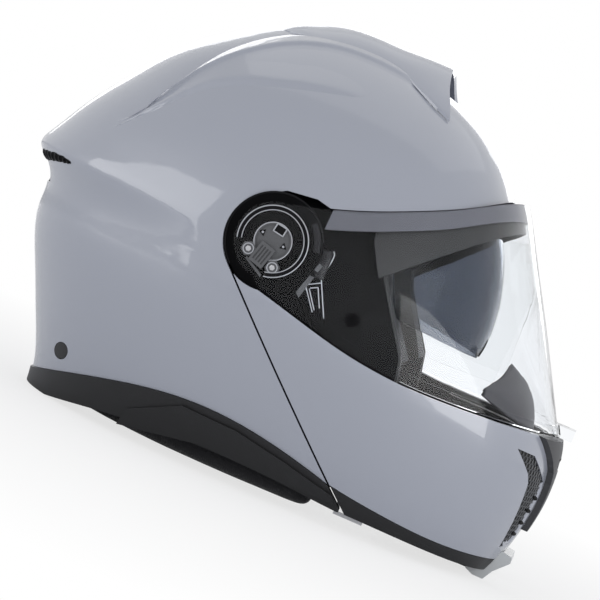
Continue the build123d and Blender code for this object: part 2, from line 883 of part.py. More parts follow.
def make_chin_bar_liner():
    liner = chin_skin(chin_wall + hair, chin_wall + hair + chin_liner_wall)
    liner = liner & chin_zone(chin_foot_shares, hair)
    liner = liner - cylinder_y(pivot_x, pivot_z, arm_leg_length + overrun, -cut_run, cut_run)
    return biggest((liner & level_between(chin_foam_floor, shell_height)) - shutter_room(layer_gap + hair))


def make_chin_foam():
    depth = chin_wall + chin_liner_wall + 2 * hair
    foam = chin_skin(depth, depth + chin_foam_wall) & chin_zone(chin_foot_shares, 2 * visor_gap)
    ahead = block(chin_foam_rear, cut_run, -cut_run, cut_run, chin_foam_floor, shell_height)
    return biggest((foam & ahead) - shutter_room(layer_gap + hair))


def make_chin_centre_vent():
    vent = chin_skin(-intake_proud, chin_wall) & intake_prism(0)
    lid = side(*visor_foot_shares[-2])[1] - visor_gap
    vent = vent & block(front_reach / 2, cut_run, -cut_run, cut_run, 0, lid)
    slot = block(front_reach / 2, cut_run, -intake_slot_half_width, intake_slot_half_width,
                 intake_slot_low, intake_slot_high)
    return biggest(vent - slot)


def make_chin_vent_shutter():
    x = shutter_face
    flap = block(x - shutter_wall, x, -intake_slot_half_width + hair, intake_slot_half_width - hair,
                 intake_slot_low + hair, intake_slot_high - hair)
    tab = block(x, x + shutter_tab_reach, -shutter_tab_half_width, shutter_tab_half_width,
                intake_slot_high - hair - shutter_tab_wall, intake_slot_high - hair)
    return flap + tab


def shutter_room(inset):
    """Air way through the chin's inner layers, with room for the shutter to slide down."""
    half = intake_slot_half_width + inset
    low = intake_slot_low - shutter_travel - inset
    return block(chin_foam_rear, front_reach, -half, half, low, intake_slot_high + inset)


def make_chin_side_grille():
    return biggest(chin_skin(grille_sink, chin_wall) & grille_prism(-hair))


def tip_block(margin):
    """Prism of the chin tip guard, grown by a margin."""
    outline = make_face(Polyline(*[side(*p) for p in tip_shares], close=True))
    if margin:
        outline = offset(outline, margin, kind=Kind.INTERSECTION)
    shape = extrude(Plane.XZ * outline, amount=cut_run / 2, both=True)
    return shape & reach_between(-tip_half_width - margin, tip_half_width + margin)


def lever_pin_place():
    x, z = side(*tip_shares[0])
    return (x + 2 * lever_pin_radius + hair, lever_low + lever_wall / 2 + hair)


def make_chin_tip_guard():
    x, z = lever_pin_place()
    eye = block(x - cut_run, x + 3 * lever_pin_radius, -lever_half_width - layer_gap,
                lever_half_width + layer_gap, -overrun, z + lever_room_share * lever_pin_radius)
    bore = cylinder_y(x, z, lever_pin_radius + running_gap, -tip_half_width, tip_half_width)
    return biggest(tip_block(0) - eye - bore)


def make_release_lever():
    x, z = lever_pin_place()
    plate = block(x - lever_length, x, -lever_half_width, lever_half_width, lever_low, lever_low + lever_wall)
    barrel = cylinder_y(x, z, lever_barrel_radius, -lever_half_width, lever_half_width)
    bore = cylinder_y(x, z, lever_pin_radius + running_gap, -half_width, half_width)
    return plate + barrel - bore


def make_release_lever_pin():
    x, z = lever_pin_place()
    return cylinder_y(x, z, lever_pin_radius, -tip_half_width + layer_gap, tip_half_width - layer_gap)


def make_chin_lower_trim():
    band = chin_skin(0, trim_wall) & below_line(chin_rim_shares, hair)
    band = band - below_line(chin_foot_shares)
    band = band & ahead_of_seam(pocket_radius - seam_gap)
    return biggest(left_half(band - tip_block(hair)))


def visor_zone(inset=0):
    """Side-view outline of the visor ahead of its round ends."""
    crest = [side(*p) for p in visor_crest_shares]
    foot = [side(*p) for p in visor_foot_shares]
    crest = [(x, z - inset) for x, z in crest]
    foot = [(x, z + inset) for x, z in foot]
    rear_high = pivot_point(lug_radius, 95)
    rear_low = pivot_point(lug_radius, 265)
    outline = Polyline(foot[0], rear_low, rear_high, crest[0])
    ahead = Polyline(crest[-1], (foot[-1][0], crest[-1][1]), foot[-1])
    return prism(outline + Spline(*crest) + ahead + Spline(*foot))


def make_visor_lens():
    sheet = visor_skin(0, visor_wall) & visor_zone()
    sheet = sheet - cylinder_y(pivot_x, pivot_z, lug_radius - collar_wall, -cut_run, cut_run)
    lip_line = [(x, z + lip_height / shell_height) for x, z in visor_foot_shares]
    lip = visor_skin(-lip_proud, visor_wall / 2) & visor_zone() & below_line(lip_line)
    lip = lip & block(0, cut_run, -cut_run, cut_run, 0, shell_height)
    tab_low = side(*visor_foot_shares[-2])[1]
    tab = block(visor_front * tab_root_share, tab_reach, -tab_half_width, tab_half_width, tab_low,
                tab_low + tab_height)
    lens = sheet + lip + tab
    for turn in (1, -1):
        lug = cylinder_y(pivot_x, pivot_z, lug_radius, lug_face() - lug_wall, lug_face())
        wall = cylinder_y(pivot_x, pivot_z, lug_radius, lug_face() - lug_wall, visor_half_width)
        hollow = cylinder_y(pivot_x, pivot_z, lug_radius - collar_wall, 0, cut_run)
        collar = (wall - hollow) & visor_core() & visor_zone()
        hole = cylinder_y(pivot_x, pivot_z, hub_radius + running_gap, 0, cut_run)
        ring = lug + collar - hole
        lens = lens + (ring if turn > 0 else mirrored(ring))
    for turn in (1, -1):
        hole = cylinder_y(pin_x, pin_z, pin_radius, 0, cut_run)
        lens = lens - (hole if turn > 0 else mirrored(hole))
    rim = cylinder_y(pivot_x, pivot_z, pocket_radius + relief_reach, -relief_half_width, relief_half_width)
    rim = rim - cylinder_y(pivot_x, pivot_z, pocket_radius - relief_lead, -cut_run, cut_run)
    return biggest(lens - rim)


def visor_core():
    return loft_rows(visor_row_shares, 0, visor_front, visor_rear, visor_half_width, shell_height)


def make_pinlock_pin():
    outer = half_width_at(pin_x, pin_z) + visor_wall + pin_proud
    head = cylinder_y(pin_x, pin_z, pin_radius - running_gap, outer - visor_wall - pin_reach, outer)
    return head


def make_pinlock_lens():
    lens = visor_skin(visor_wall + pinlock_gap, visor_wall + pinlock_gap + pinlock_wall)
    roof = [(x, z - (seal_height + layer_gap) / shell_height) for x, z in visor_crest_shares]
    return biggest(lens & side_prism(*pinlock_shares) & below_line(roof))


def make_eyeport_seal():
    """Rubber strip along the brow, between the shell's edge and the visor."""
    strip = visor_skin(visor_wall + seal_gap, visor_wall + seal_gap + seal_wall)
    upper = [(x, z + visor_drop_share) for x, z in visor_crest_shares]
    lower = [(x, z - seal_height / shell_height) for x, z in visor_crest_shares]
    band = (strip & below_line(upper)) - below_line(lower)
    return biggest(band & block(seal_rear, cut_run, -cut_run, cut_run, 0, shell_height))


def make_brow_lining():
    """Trim between the brow strip and the eye opening, in front of the sun visor."""
    lining = visor_skin(lining_depth, lining_depth + lining_wall)
    upper = [(x, z - seal_height / 2 / shell_height) for x, z in visor_crest_shares]
    return biggest((lining & below_line(upper)) & side_prism(*lining_shares))


def sun_radius_at(y):
    return sun_radius * (1 - (y / sun_half_width) ** sun_fullness) ** (1 / sun_fullness)


def sun_shape(grow, low_turn, span_turn):
    """Sector of the sun visor with its side arms, grown all round for its pocket."""
    face = sun_arm_face
    outer = [(sun_radius_at(face * k / sun_steps) + grow, face * k / sun_steps) for k in range(sun_steps + 1)]
    back_face = face - grow
    inner = [(sun_radius_at(back_face * k / sun_steps) - sun_wall - grow, back_face * k / sun_steps)
             for k in range(sun_steps + 1)]
    side_y = face + sun_arm_wall + grow
    rim = outer[-1][0]
    right = Spline(*[(sun_axis_x + r, y) for r, y in outer])
    step = Polyline((sun_axis_x + rim, face), (sun_axis_x + rim, side_y), (sun_axis_x + overrun, side_y),
                    (sun_axis_x + overrun, back_face), (sun_axis_x + inner[-1][0], back_face))
    back = Spline(*[(sun_axis_x + r, y) for r, y in reversed(inner)])
    end = Line((sun_axis_x + inner[0][0], 0), (sun_axis_x + outer[0][0], 0))
    half = make_face(right + step + back + end)
    axis = Axis((sun_axis_x, 0, sun_axis_z), (0, -1, 0))
    profile = (Plane((0, 0, sun_axis_z)) * half).rotate(axis, low_turn)
    solid = revolve(profile, axis, span_turn)
    return solid + mirrored(solid)


def make_sun_visor():
    lens = sun_shape(0, sun_low_turn, sun_span_turn)
    nose = nose_cut()
    lens = lens - nose
    boss = cylinder_y(sun_axis_x, sun_axis_z, sun_boss_radius, sun_arm_face, sun_arm_face + sun_arm_wall)
    bore = cylinder_y(sun_axis_x, sun_axis_z, sun_pin_radius + running_gap, 0, cut_run)
    lens = lens + boss + mirrored(boss)
    return biggest(lens - bore - mirrored(bore))


def nose_cut():
    """Room for the nose in the lower edge of the sun visor."""
    low = sun_axis_z + sun_radius * math.sin(math.radians(sun_low_turn))
    outline = Polyline((-nose_half_width, low - nose_height), (nose_half_width, low - nose_height),
                       (nose_half_width / 2, low + nose_height), (-nose_half_width / 2, low + nose_height),
                       close=True)
    return extrude(Plane.YZ * make_face(outline), amount=cut_run)


def make_sun_visor_pin():
    return cylinder_y(sun_axis_x, sun_axis_z, sun_pin_radius, sun_arm_face - layer_gap,
                      sun_arm_face + sun_arm_wall + sun_pin_reach)


def cable_tube(radius):
    path = Spline(*cable_places)
    start = Plane(path @ 0, z_dir=path % 0)
    return sweep(start * Circle(radius), path=path)


def make_sun_cable():
    return cable_tube(cable_radius)


def make_eps_liner():
    outer = loft_rows(form_row_shares, liner_depth, front_reach, rear_reach, half_width, shell_height)
    foam = skin_between(outer, head_loft(0)) & level_between(liner_floor, shell_height)
    foam = foam - side_prism(*eyeport_shares)
    foam = foam - block(cheek_rear - cheek_gap, front_reach, -cheek_pocket_half_width, cheek_pocket_half_width,
                        0, cheek_top + cheek_gap)
    room = boss_face() - boss_height - bolt_head_wall - layer_gap
    pocket = cylinder_y(pivot_x, pivot_z, boss_radius + layer_gap, room, half_width)
    foam = foam - pocket - mirrored(pocket)
    foam = foam - sun_shape(sun_pocket_grow, sun_pocket_low_turn, sun_pocket_span_turn)
    axle = cylinder_y(sun_axis_x, sun_axis_z, sun_pin_radius + running_gap, sun_arm_face - layer_gap,
                      sun_arm_face + sun_arm_wall + sun_pin_reach + running_gap)
    boss = sun_boss_radius + sun_pocket_grow
    axle = axle + cylinder_y(sun_axis_x, sun_axis_z, boss, sun_arm_face - layer_gap,
                             sun_arm_face + sun_arm_wall + sun_pocket_grow)
    rivet = cylinder_y(strap_x, rivet_z, rivet_radius + layer_gap, cheek_outer,
                       cheek_pocket_half_width + rivet_wall)
    foam = foam - rivet - mirrored(rivet)
    foam = foam - axle - mirrored(axle) - cable_tube(cable_radius + cable_gap)
    return biggest(foam)


def make_eps_rear_block():
    foam = form_skin(shell_wall + layer_gap, liner_depth - hair)
    foam = foam & block(-cut_run, block_front, -cut_run, cut_run, block_floor, shell_height)
    half = rear_slot_half_width + hair
    window = block(-rear_reach, -rear_reach * rear_slot_share, -half, half,
                   rear_slot_low - hair, rear_slot_high + hair)
    return biggest(foam - window)


def make_crown_pad():
    pad = skin_between(head_loft(hair), head_loft(comfort_wall))
    return biggest(pad & side_prism(*crown_pad_shares))


def make_cheek_pad():
    outline = side_prism(*cheek_pad_shares) & reach_between(cheek_inner / 2, cheek_outer)
    x = sum(p[0] for p in cheek_pad_shares) / len(cheek_pad_shares) * rear_reach
    z = sum(p[1] for p in cheek_pad_shares) / len(cheek_pad_shares) * shell_height
    dome = Pos(x, cheek_inner + cheek_dome_radius, z) * Sphere(cheek_dome_radius)
    pad = outline & dome
    channel = block(strap_x - strap_width / 2 - cheek_gap, strap_x + strap_width / 2 + cheek_gap,
                    cheek_outer - strap_channel_depth, cut_run, 0, strap_channel_top)
    return biggest(pad - channel)


def make_neck_roll():
    roll = form_skin(roll_depth, roll_depth + roll_width, -1, 0.16)
    roll = roll & block(-cut_run, roll_front, -cut_run, cut_run, roll_floor, roll_top)
    return biggest(fillet(biggest(roll).edges(), roll_fillet))


def needle_prism(margin):
    outline = make_face(Polyline(*[side(*p) for p in needle_shares], close=True))
    if margin:
        outline = offset(outline, margin, kind=Kind.INTERSECTION)
    return extrude(Plane.XZ * outline, amount=cut_run / 2, both=True)


def make_link_needle():
    high = boss_face() - needle_sink
    return biggest(needle_prism(0) & reach_between(high - needle_wall, high))


def make_striker():
    plate = block(striker_rear, striker_front, striker_face, striker_face + striker_wall, striker_floor,
                  frame_floor - hair)
    window = block(striker_rear + striker_wall, striker_x - 2 * striker_radius, 0, cut_run,
                   striker_floor + striker_wall, frame_floor - 2 * striker_wall)
    pin = cylinder_y(striker_x, striker_z, striker_radius, striker_face - striker_reach, striker_face)
    return plate - window + pin


def hook_level():
    """Stations of the latch hook along Y, low and high."""
    high = striker_face - layer_gap
    return (high - hook_wall, high)


def make_latch_hook():
    low, high = hook_level()
    near = striker_radius + hook_gap
    top = striker_z + near + hook_finger
    foot = striker_z - striker_radius + hook_gap
    tail = striker_x - near
    arm = block(tail, hook_x, low, high, striker_z + near, top)
    beak = block(tail - hook_finger, tail, low, high, foot, top)
    boss = cylinder_y(hook_x, hook_z, hook_boss_radius, low, high)
    bore = cylinder_y(hook_x, hook_z, hook_pin_radius + running_gap, 0, cut_run)
    return arm + beak + boss - bore


def make_hook_pin():
    low, high = hook_level()
    return cylinder_y(hook_x, hook_z, hook_pin_radius, low - hook_pin_radius, high + hook_pin_radius)


def strap_line(end_y):
    """Middle line of one strap in the front view, from its rivet to the buckle."""
    y = cheek_outer + (cheek_pocket_half_width - cheek_outer) / 2
    return Spline((y, strap_top), (y, (strap_top + strap_bend) / 2),
                  (y - strap_bend / 3, strap_bend + strap_wall),
                  (strap_inner, strap_bend - strap_wall / 2), (strap_mid_y, strap_mid_z), (end_y, strap_low),
                  tangents=((0, -1), (-1, 0)))


def strap_shape(end_y):
    line = strap_line(end_y)
    steps = strap_steps
    left = []
    right = []
    for k in range(steps + 1):
        place = line @ (k / steps)
        ahead = line % (k / steps)
        left.append((place.X - ahead.Y * strap_wall / 2, place.Y + ahead.X * strap_wall / 2))
        right.append((place.X + ahead.Y * strap_wall / 2, place.Y - ahead.X * strap_wall / 2))
    outline = Spline(*left) + Line(left[-1], right[-1]) + Spline(*right[::-1]) + Line(right[0], left[0])
    face = Plane.YZ * make_face(outline)
    return Pos(strap_x - strap_width / 2, 0, 0) * extrude(face, amount=strap_width)


def make_left_strap():
    return strap_shape(strap_end_left) - rivet_hole()


def make_right_strap():
    return mirrored(strap_shape(strap_end_right) - rivet_hole())


def rivet_hole():
    return cylinder_y(strap_x, rivet_z, rivet_stem_radius + layer_gap, 0, cut_run)


def make_strap_rivet():
    y = cheek_outer + (cheek_pocket_half_width - cheek_outer) / 2
    head = cylinder_y(strap_x, rivet_z, rivet_radius, y + strap_wall / 2 + hair,
                      y + strap_wall / 2 + hair + rivet_wall)
    stem = cylinder_y(strap_x, rivet_z, rivet_stem_radius, y - strap_wall / 2, y + strap_wall / 2 + rivet_wall)
    return head + stem


def receiver_ends():
    far = -strap_end_right - receiver_overlap
    return far, far + receiver_length


def make_buckle_receiver():
    far, near = receiver_ends()
    body = block(strap_x - receiver_width / 2, strap_x + receiver_width / 2, far, near,
                 receiver_low, receiver_high)
    slot = block(strap_x - tongue_width / 2 - hair, strap_x + tongue_width / 2 + hair, far + receiver_back,
                 cut_run, strap_low - tongue_wall / 2 - hair, receiver_high - receiver_wall)
    mouth = block(strap_x - strap_width / 2 - hair, strap_x + strap_width / 2 + hair, far - overrun,
                  far + receiver_wall * 2, strap_low - strap_wall / 2 - hair,
                  strap_low + strap_wall / 2 + strap_wall / 2)
    body = body - slot - mouth
    y, z = buckle_hinge()
    inner = lever_plate_width / 2 + hair
    for low in (strap_x - inner - ear_wall, strap_x + inner):
        ear = block(low, low + ear_wall, y - ear_half_length, y + ear_half_length,
                    z - ear_half_length, receiver_low)
        body = body + ear
    return body - cylinder_x(y, z, lever_plate_pin_radius + running_gap, strap_x - receiver_width,
                             strap_x + receiver_width)


def buckle_hinge():
    far, near = receiver_ends()
    return (far + 2 * ear_wall + lever_plate_pin_radius, receiver_low - hair - lever_knuckle_radius)


def cylinder_x(y, z, radius, x_from, x_to):
    """Cylinder along X between two stations."""
    return Pos((x_from + x_to) / 2, y, z) * Rot(0, 90, 0) * Cylinder(radius, x_to - x_from)


def make_ratchet_tongue():
    far, near = receiver_ends()
    start = near - receiver_length + tooth_start
    plate = block(strap_x - tongue_width / 2, strap_x + tongue_width / 2, start, start + tongue_length,
                  strap_low - tongue_wall / 2, strap_low + tongue_wall / 2)
    pitch = (near - start) / tongue_teeth
    for k in range(tongue_teeth):
        foot = start + k * pitch
        face = strap_low + tongue_wall / 2
        tooth = Polyline((foot, face), (foot + pitch * tooth_share, face),
                         (foot, strap_low + tongue_wall / 2 + tooth_height), close=True)
        wedge = Pos(strap_x - tongue_width / 4, 0, 0) * extrude(Plane.YZ * make_face(tooth),
                                                                 amount=tongue_width / 2)
        plate = plate + wedge
    room = strap_shape(strap_end_left)
    return biggest(plate - room)


def make_buckle_lever():
    y, z = buckle_hinge()
    half = lever_plate_width / 2
    low = z - lever_plate_wall / 2
    plate = block(strap_x - half, strap_x + half, y, y + lever_plate_length, low, low + lever_plate_wall)
    knuckle = cylinder_x(y, z, lever_knuckle_radius, strap_x - half, strap_x + half)
    pin = cylinder_x(y, z, lever_plate_pin_radius, strap_x - half - hair - ear_wall,
                     strap_x + half + hair + ear_wall)
    return plate + knuckle + pin


def knob_middle():
    return (rail_inner + rail_outer) / 2


def make_slider_rail():
    rail = block(rail_rear, rail_front, rail_inner, rail_root, rail_floor, liner_floor - hair)
    groove = block(rail_rear + rail_end_wall, rail_front - rail_end_wall, knob_middle() - knob_wall / 2 - hair,
                   knob_middle() + knob_wall / 2 + hair, rail_floor - overrun, rail_roof)
    return rail - groove


def make_sun_visor_slider():
    knob = block(knob_rear, knob_rear + knob_length, knob_middle() - knob_wall / 2,
                 knob_middle() + knob_wall / 2, knob_floor, rail_roof - hair)
    pitch = knob_length / (knob_ribs + 1)
    for k in range(knob_ribs):
        x = knob_rear + (k + 1) * pitch
        knob = knob - block(x - pitch / 6, x + pitch / 6, 0, cut_run, 0, knob_floor + knob_rib_depth)
    return knob


def make_breath_deflector():
    line = Spline(*[side(*p) for p in deflector_shares])
    steps = deflector_steps
    one = []
    two = []
    for k in range(steps + 1):
        place = line @ (k / steps)
        ahead = line % (k / steps)
        one.append((place.X - ahead.Y * deflector_wall / 2, place.Y + ahead.X * deflector_wall / 2))
        two.append((place.X + ahead.Y * deflector_wall / 2, place.Y - ahead.X * deflector_wall / 2))
    outline = Spline(*one) + Line(one[-1], two[-1]) + Spline(*two[::-1]) + Line(two[0], one[0])
    axis = Axis((deflector_axis_x, 0, 0), (0, 0, 1))
    profile = (Plane.XZ * make_face(outline)).rotate(axis, -deflector_turn)
    cup = revolve(profile, axis, 2 * deflector_turn)
    return biggest(cup - cylinder_y(pivot_x, pivot_z, swing_radius, -cut_run, cut_run))


def make_chin_curtain():
    sheet = chin_skin(curtain_depth, curtain_depth + curtain_reach)
    return biggest(sheet & block(chin_foam_rear, cut_run, -cut_run, cut_run, chin_foam_floor,
                                 chin_foam_floor + curtain_wall))


def paired(shape):
    """Two equal pieces, one on each side of the helmet."""
    return Compound(children=[shape, mirrored(shape)])


def one_of_each():
    """Pieces that exist once."""
    return {
        "outer_shell": make_outer_shell,
        "eps_liner": make_eps_liner,
        "eps_rear_block": make_eps_rear_block,
        "crown_pad": make_crown_pad,
        "neck_roll": make_neck_roll,
        "eyeport_seal": make_eyeport_seal,
        "brow_lining": make_brow_lining,
        "lower_trim": make_lower_trim,
        "top_vent_hood": make_top_vent_hood,
        "top_vent_slider": make_top_vent_slider,
        "top_vent_mesh": make_top_vent_mesh,
        "rear_vent_mesh": make_rear_vent_mesh,
        "left_strap": make_left_strap,
        "right_strap": make_right_strap,
        "buckle_receiver": make_buckle_receiver,
        "ratchet_tongue": make_ratchet_tongue,
        "buckle_lever": make_buckle_lever,
        "sun_visor": make_sun_visor,
        "sun_visor_slider": make_sun_visor_slider,
        "sun_cable": make_sun_cable,
        "chin_bar_shell": make_chin_bar_shell,
        "chin_bar_liner": make_chin_bar_liner,
        "chin_foam": make_chin_foam,
        "chin_centre_vent": make_chin_centre_vent,
        "chin_vent_shutter": make_chin_vent_shutter,
        "chin_tip_guard": make_chin_tip_guard,
        "release_lever": make_release_lever,
        "release_lever_pin": make_release_lever_pin,
        "breath_deflector": make_breath_deflector,
        "chin_curtain": make_chin_curtain,
        "visor_lens": make_visor_lens,
        "pinlock_lens": make_pinlock_lens,
    }


def left_and_right():
    """Pieces made for the left side and mirrored for the right."""
    return {
        "cheek_pad": make_cheek_pad,
        "intercom_cover": make_intercom_cover,
        "base_plate": make_base_plate,
        "side_frame": make_side_frame,
        "arm_plate": make_arm_plate,
        "pivot_hub": make_pivot_hub,
        "visor_release": make_visor_release_slide,
        "chin_grille": make_chin_side_grille,
        "chin_trim": make_chin_lower_trim,
        "latch_hook": make_latch_hook,
    }


def equal_pairs():
    """Equal small pieces that share one file."""
    return {
        "pivot_bolts": make_pivot_bolt,
        "rear_plugs": make_rear_side_plug,
        "link_needles": make_link_needle,
        "strikers": make_striker,
        "hook_pins": make_hook_pin,
        "strap_rivets": make_strap_rivet,
        "sun_visor_pins": make_sun_visor_pin,
        "pinlock_pins": make_pinlock_pin,
    }


def save(name, shape):
    shape.label = name
    export_step(shape, f"parts/{name}.step")


if __name__ == "__main__":
    os.makedirs("parts", exist_ok=True)
    for name, make in one_of_each().items():
        save(name, make())
    for name, make in left_and_right().items():
        piece = make()
        save("left_" + name, piece)
        save("right_" + name, mirrored(piece))
    for name, make in equal_pairs().items():
        save(name, paired(make()))
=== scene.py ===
import logging
import math
from dataclasses import dataclass
from enum import Enum

import bpy
import numpy as np
from mathutils import Matrix, Vector


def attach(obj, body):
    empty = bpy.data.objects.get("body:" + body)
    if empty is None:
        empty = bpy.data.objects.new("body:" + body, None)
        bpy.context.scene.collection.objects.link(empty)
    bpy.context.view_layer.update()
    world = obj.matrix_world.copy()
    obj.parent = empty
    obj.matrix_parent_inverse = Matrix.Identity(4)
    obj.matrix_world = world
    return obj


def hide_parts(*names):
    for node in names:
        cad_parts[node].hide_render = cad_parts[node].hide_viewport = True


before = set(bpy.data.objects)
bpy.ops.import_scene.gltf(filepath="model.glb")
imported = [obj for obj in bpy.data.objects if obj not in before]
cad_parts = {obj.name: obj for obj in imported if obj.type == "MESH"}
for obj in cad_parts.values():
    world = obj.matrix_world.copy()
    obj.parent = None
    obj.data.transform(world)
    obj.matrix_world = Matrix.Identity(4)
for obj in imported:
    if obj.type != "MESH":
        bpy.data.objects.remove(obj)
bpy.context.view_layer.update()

LOG = logging.getLogger("helmet")
MM = 0.001
PIVOT = (-15.0, 131.0)
FAR_SIDE = 160.0
SIDES = (("left", 1.0), ("right", -1.0))
WHITE = (1.0, 1.0, 1.0, 1.0)
Colour = tuple[float, float, float]
Flat = tuple[float, float]
Place = tuple[float, float, float]
Line = tuple[Flat, ...]
Path = tuple[Place, ...]
Faces = list[list[int]]
Array = np.ndarray
Object = bpy.types.Object
Mesh = bpy.types.Mesh
Socket = bpy.types.NodeSocket


# Node trees

class Effect(Enum):
    """Surface effects that several finishes share."""

    GRAIN = "fine grain"
    WEAVE = "knit weave"
    DUST = "soft dust"


class Tree:
    """A shader node tree that is filled with short calls."""

    groups: dict[Effect, bpy.types.NodeTree] = {}

    def __init__(self, tree: bpy.types.NodeTree) -> None:
        """Keeps the tree to fill."""
        self.tree = tree

    @classmethod
    def emptied(cls, owner: bpy.types.Material | bpy.types.World) -> "Tree":
        """Returns the tree of a material or a world, without its first nodes."""
        owner.use_nodes = True
        owner.node_tree.nodes.clear()
        return cls(owner.node_tree)

    def feed(self, target: Socket, value: object) -> None:
        """Sets an input socket to a plain value, or links an output socket to it."""
        if isinstance(value, Socket):
            self.tree.links.new(value, target)
        else:
            target.default_value = value

    def add(self, kind: str, **values: object) -> bpy.types.Node:
        """Adds a node and sets its properties and input sockets.

        Args:
            kind: the node's type name.
            values: properties by name, or input sockets by name with spaces as underscores.

        Returns:
            The new node.
        """
        node = self.tree.nodes.new(kind)
        for name, value in values.items():
            if hasattr(node, name):
                setattr(node, name, value)
            else:
                socket = name.replace("_", " ")
                self.feed(next(s for s in node.inputs if s.name == socket and s.enabled), value)
        return node

    def result(self, kind: str, *inputs: object, **values: object) -> Socket:
        """Adds a node and fills its inputs in their order.

        Args:
            kind: the node's type name.
            inputs: plain values or output sockets.
            values: properties or inputs by name; see add.

        Returns:
            Its first output.
        """
        node = self.add(kind, **values)
        for target, value in zip(node.inputs, inputs):
            self.feed(target, value)
        return node.outputs[0]

    def math(self, kind: str, *inputs: object) -> Socket:
        """Returns the result of a Math node."""
        return self.result("ShaderNodeMath", *inputs, operation=kind)

    def blend(self, mask: Socket, first: bpy.types.Node, second: bpy.types.Node) -> Socket:
        """Mixes two shaders: the second one shows where the mask is one."""
        return self.result("ShaderNodeMixShader", mask, first.outputs[0], second.outputs[0])

    def place(self) -> Socket:
        """Returns the object's own coordinates."""
        return self.add("ShaderNodeTexCoord").outputs["Object"]

    def effect(self, effect: Effect, scale: float, amount: float = 1.0) -> bpy.types.NodeOutputs:
        """Places a shared effect.

        Args:
            effect: which effect.
            scale: its pattern's frequency per metre.
            amount: the weight of its height.

        Returns:
            The group's outputs, Height and Mask.
        """
        if effect not in Tree.groups:
            Tree.groups[effect] = make_group(effect)
        return self.add("ShaderNodeGroup", node_tree=Tree.groups[effect], Scale=scale, Amount=amount).outputs

    def mix(self, mask: Socket, low: Colour, high: Colour) -> Socket:
        """Blends two colours by a ramp.

        Args:
            mask: where the second colour shows.
            low: the first colour.
            high: the second colour.

        Returns:
            The colour socket.
        """
        ramp = self.add("ShaderNodeValToRGB", Fac=mask)
        for element, colour in zip(ramp.color_ramp.elements, (low, high)):
            element.color = (*colour, 1.0)
        return ramp.outputs["Color"]

    def surface(self, colour: Socket | Colour, rough: Socket | float, relief: Socket, depth: float,
                **values: float) -> Socket:
        """Returns the Principled shader with a relief that is depth metres deep; values are more of its inputs."""
        normal = self.add("ShaderNodeBump", Height=relief, Distance=depth, Strength=1.0).outputs["Normal"]
        return self.result("ShaderNodeBsdfPrincipled", Base_Color=colour, Roughness=rough, Normal=normal, **values)


def make_group(effect: Effect) -> bpy.types.NodeTree:
    """Builds one shared effect as a node group.

    Grain adds cells to a noise, weave crosses waves, and dust is a slow noise cut to patches.

    Args:
        effect: which effect to build.

    Returns:
        The group, with the inputs Scale and Amount and the outputs Height and Mask.
    """
    group = bpy.data.node_groups.new(effect.value, "ShaderNodeTree")
    for name, low, high in (("Scale", 1.0, 20000.0), ("Amount", 0.0, 10.0)):
        socket = group.interface.new_socket(name, in_out="INPUT", socket_type="NodeSocketFloat")
        socket.min_value, socket.max_value, socket.default_value = low, high, 1.0
    for name in ("Height", "Mask"):
        group.interface.new_socket(name, in_out="OUTPUT", socket_type="NodeSocketFloat")
    t = Tree(group)
    start = t.add("NodeGroupInput")
    where = dict(Vector=t.place(), Scale=start.outputs["Scale"])
    if effect is Effect.GRAIN:
        coarse = t.add("ShaderNodeTexNoise", Detail=4.0, Roughness=0.6, **where)
        cells = t.add("ShaderNodeTexVoronoi", **where)
        mask = t.math("MULTIPLY_ADD", cells.outputs["Distance"], 0.6, coarse.outputs["Fac"])
    elif effect is Effect.WEAVE:
        bands = [t.add("ShaderNodeTexWave", Distortion=0.6, Detail=1.0, bands_direction=way, **where).outputs["Fac"]
                 for way in ("DIAGONAL", "Z")]
        other = t.add("ShaderNodeTexWave", bands_direction="X", **where).outputs["Fac"]
        mask = t.math("MULTIPLY_ADD", t.math("MAXIMUM", *bands), 0.6, t.math("MULTIPLY", other, 0.4))
    else:
        slow = t.add("ShaderNodeTexNoise", Detail=6.0, Roughness=0.7, **where)
        mask = t.math("SMOOTH_MIN", t.math("POWER", slow.outputs["Fac"], 2.0), 0.6, 0.2)
    t.add("NodeGroupOutput", Height=t.math("MULTIPLY", mask, start.outputs["Amount"]), Mask=mask)
    return group


# Finishes

def shade(colour: Colour, factor: float) -> Colour:
    """Returns a colour multiplied by a factor."""
    return tuple(min(1.0, c * factor) for c in colour)


class Finish:
    """A surface finish: it makes one material when it is first asked for."""

    made: dict[str, bpy.types.Material] = {}

    def material(self) -> bpy.types.Material:
        """Builds the finish's material when it is first asked for.

        Returns:
            The material.
        """
        key = repr(self)
        if key not in Finish.made:
            made = bpy.data.materials.new(type(self).__name__ + str(len(Finish.made)))
            t = Tree.emptied(made)
            t.add("ShaderNodeOutputMaterial", Surface=self.shader(t))
            Finish.made[key] = made
        return Finish.made[key]

    def shader(self, t: Tree) -> Socket:
        """Fills the material's tree and returns its shader."""
        raise NotImplementedError


@dataclass(frozen=True)
class Lacquer(Finish):
    """Sprayed gloss lacquer: an even colour under a clear coat with a faint orange peel."""

    colour: Colour
    roughness: float = 0.32
    coat_roughness: float = 0.03
    peel: float = 0.00001

    def shader(self, t: Tree) -> Socket:
        """See Finish.shader."""
        relief = t.effect(Effect.GRAIN, 260.0)["Height"]
        dust = t.effect(Effect.DUST, 9.0)["Mask"]
        rough = t.math("MULTIPLY_ADD", dust, 0.05, self.roughness)
        return t.surface(t.mix(dust, shade(self.colour, 0.985), self.colour), rough, relief, self.peel,
                         Coat_Weight=1.0, Coat_Roughness=self.coat_roughness)


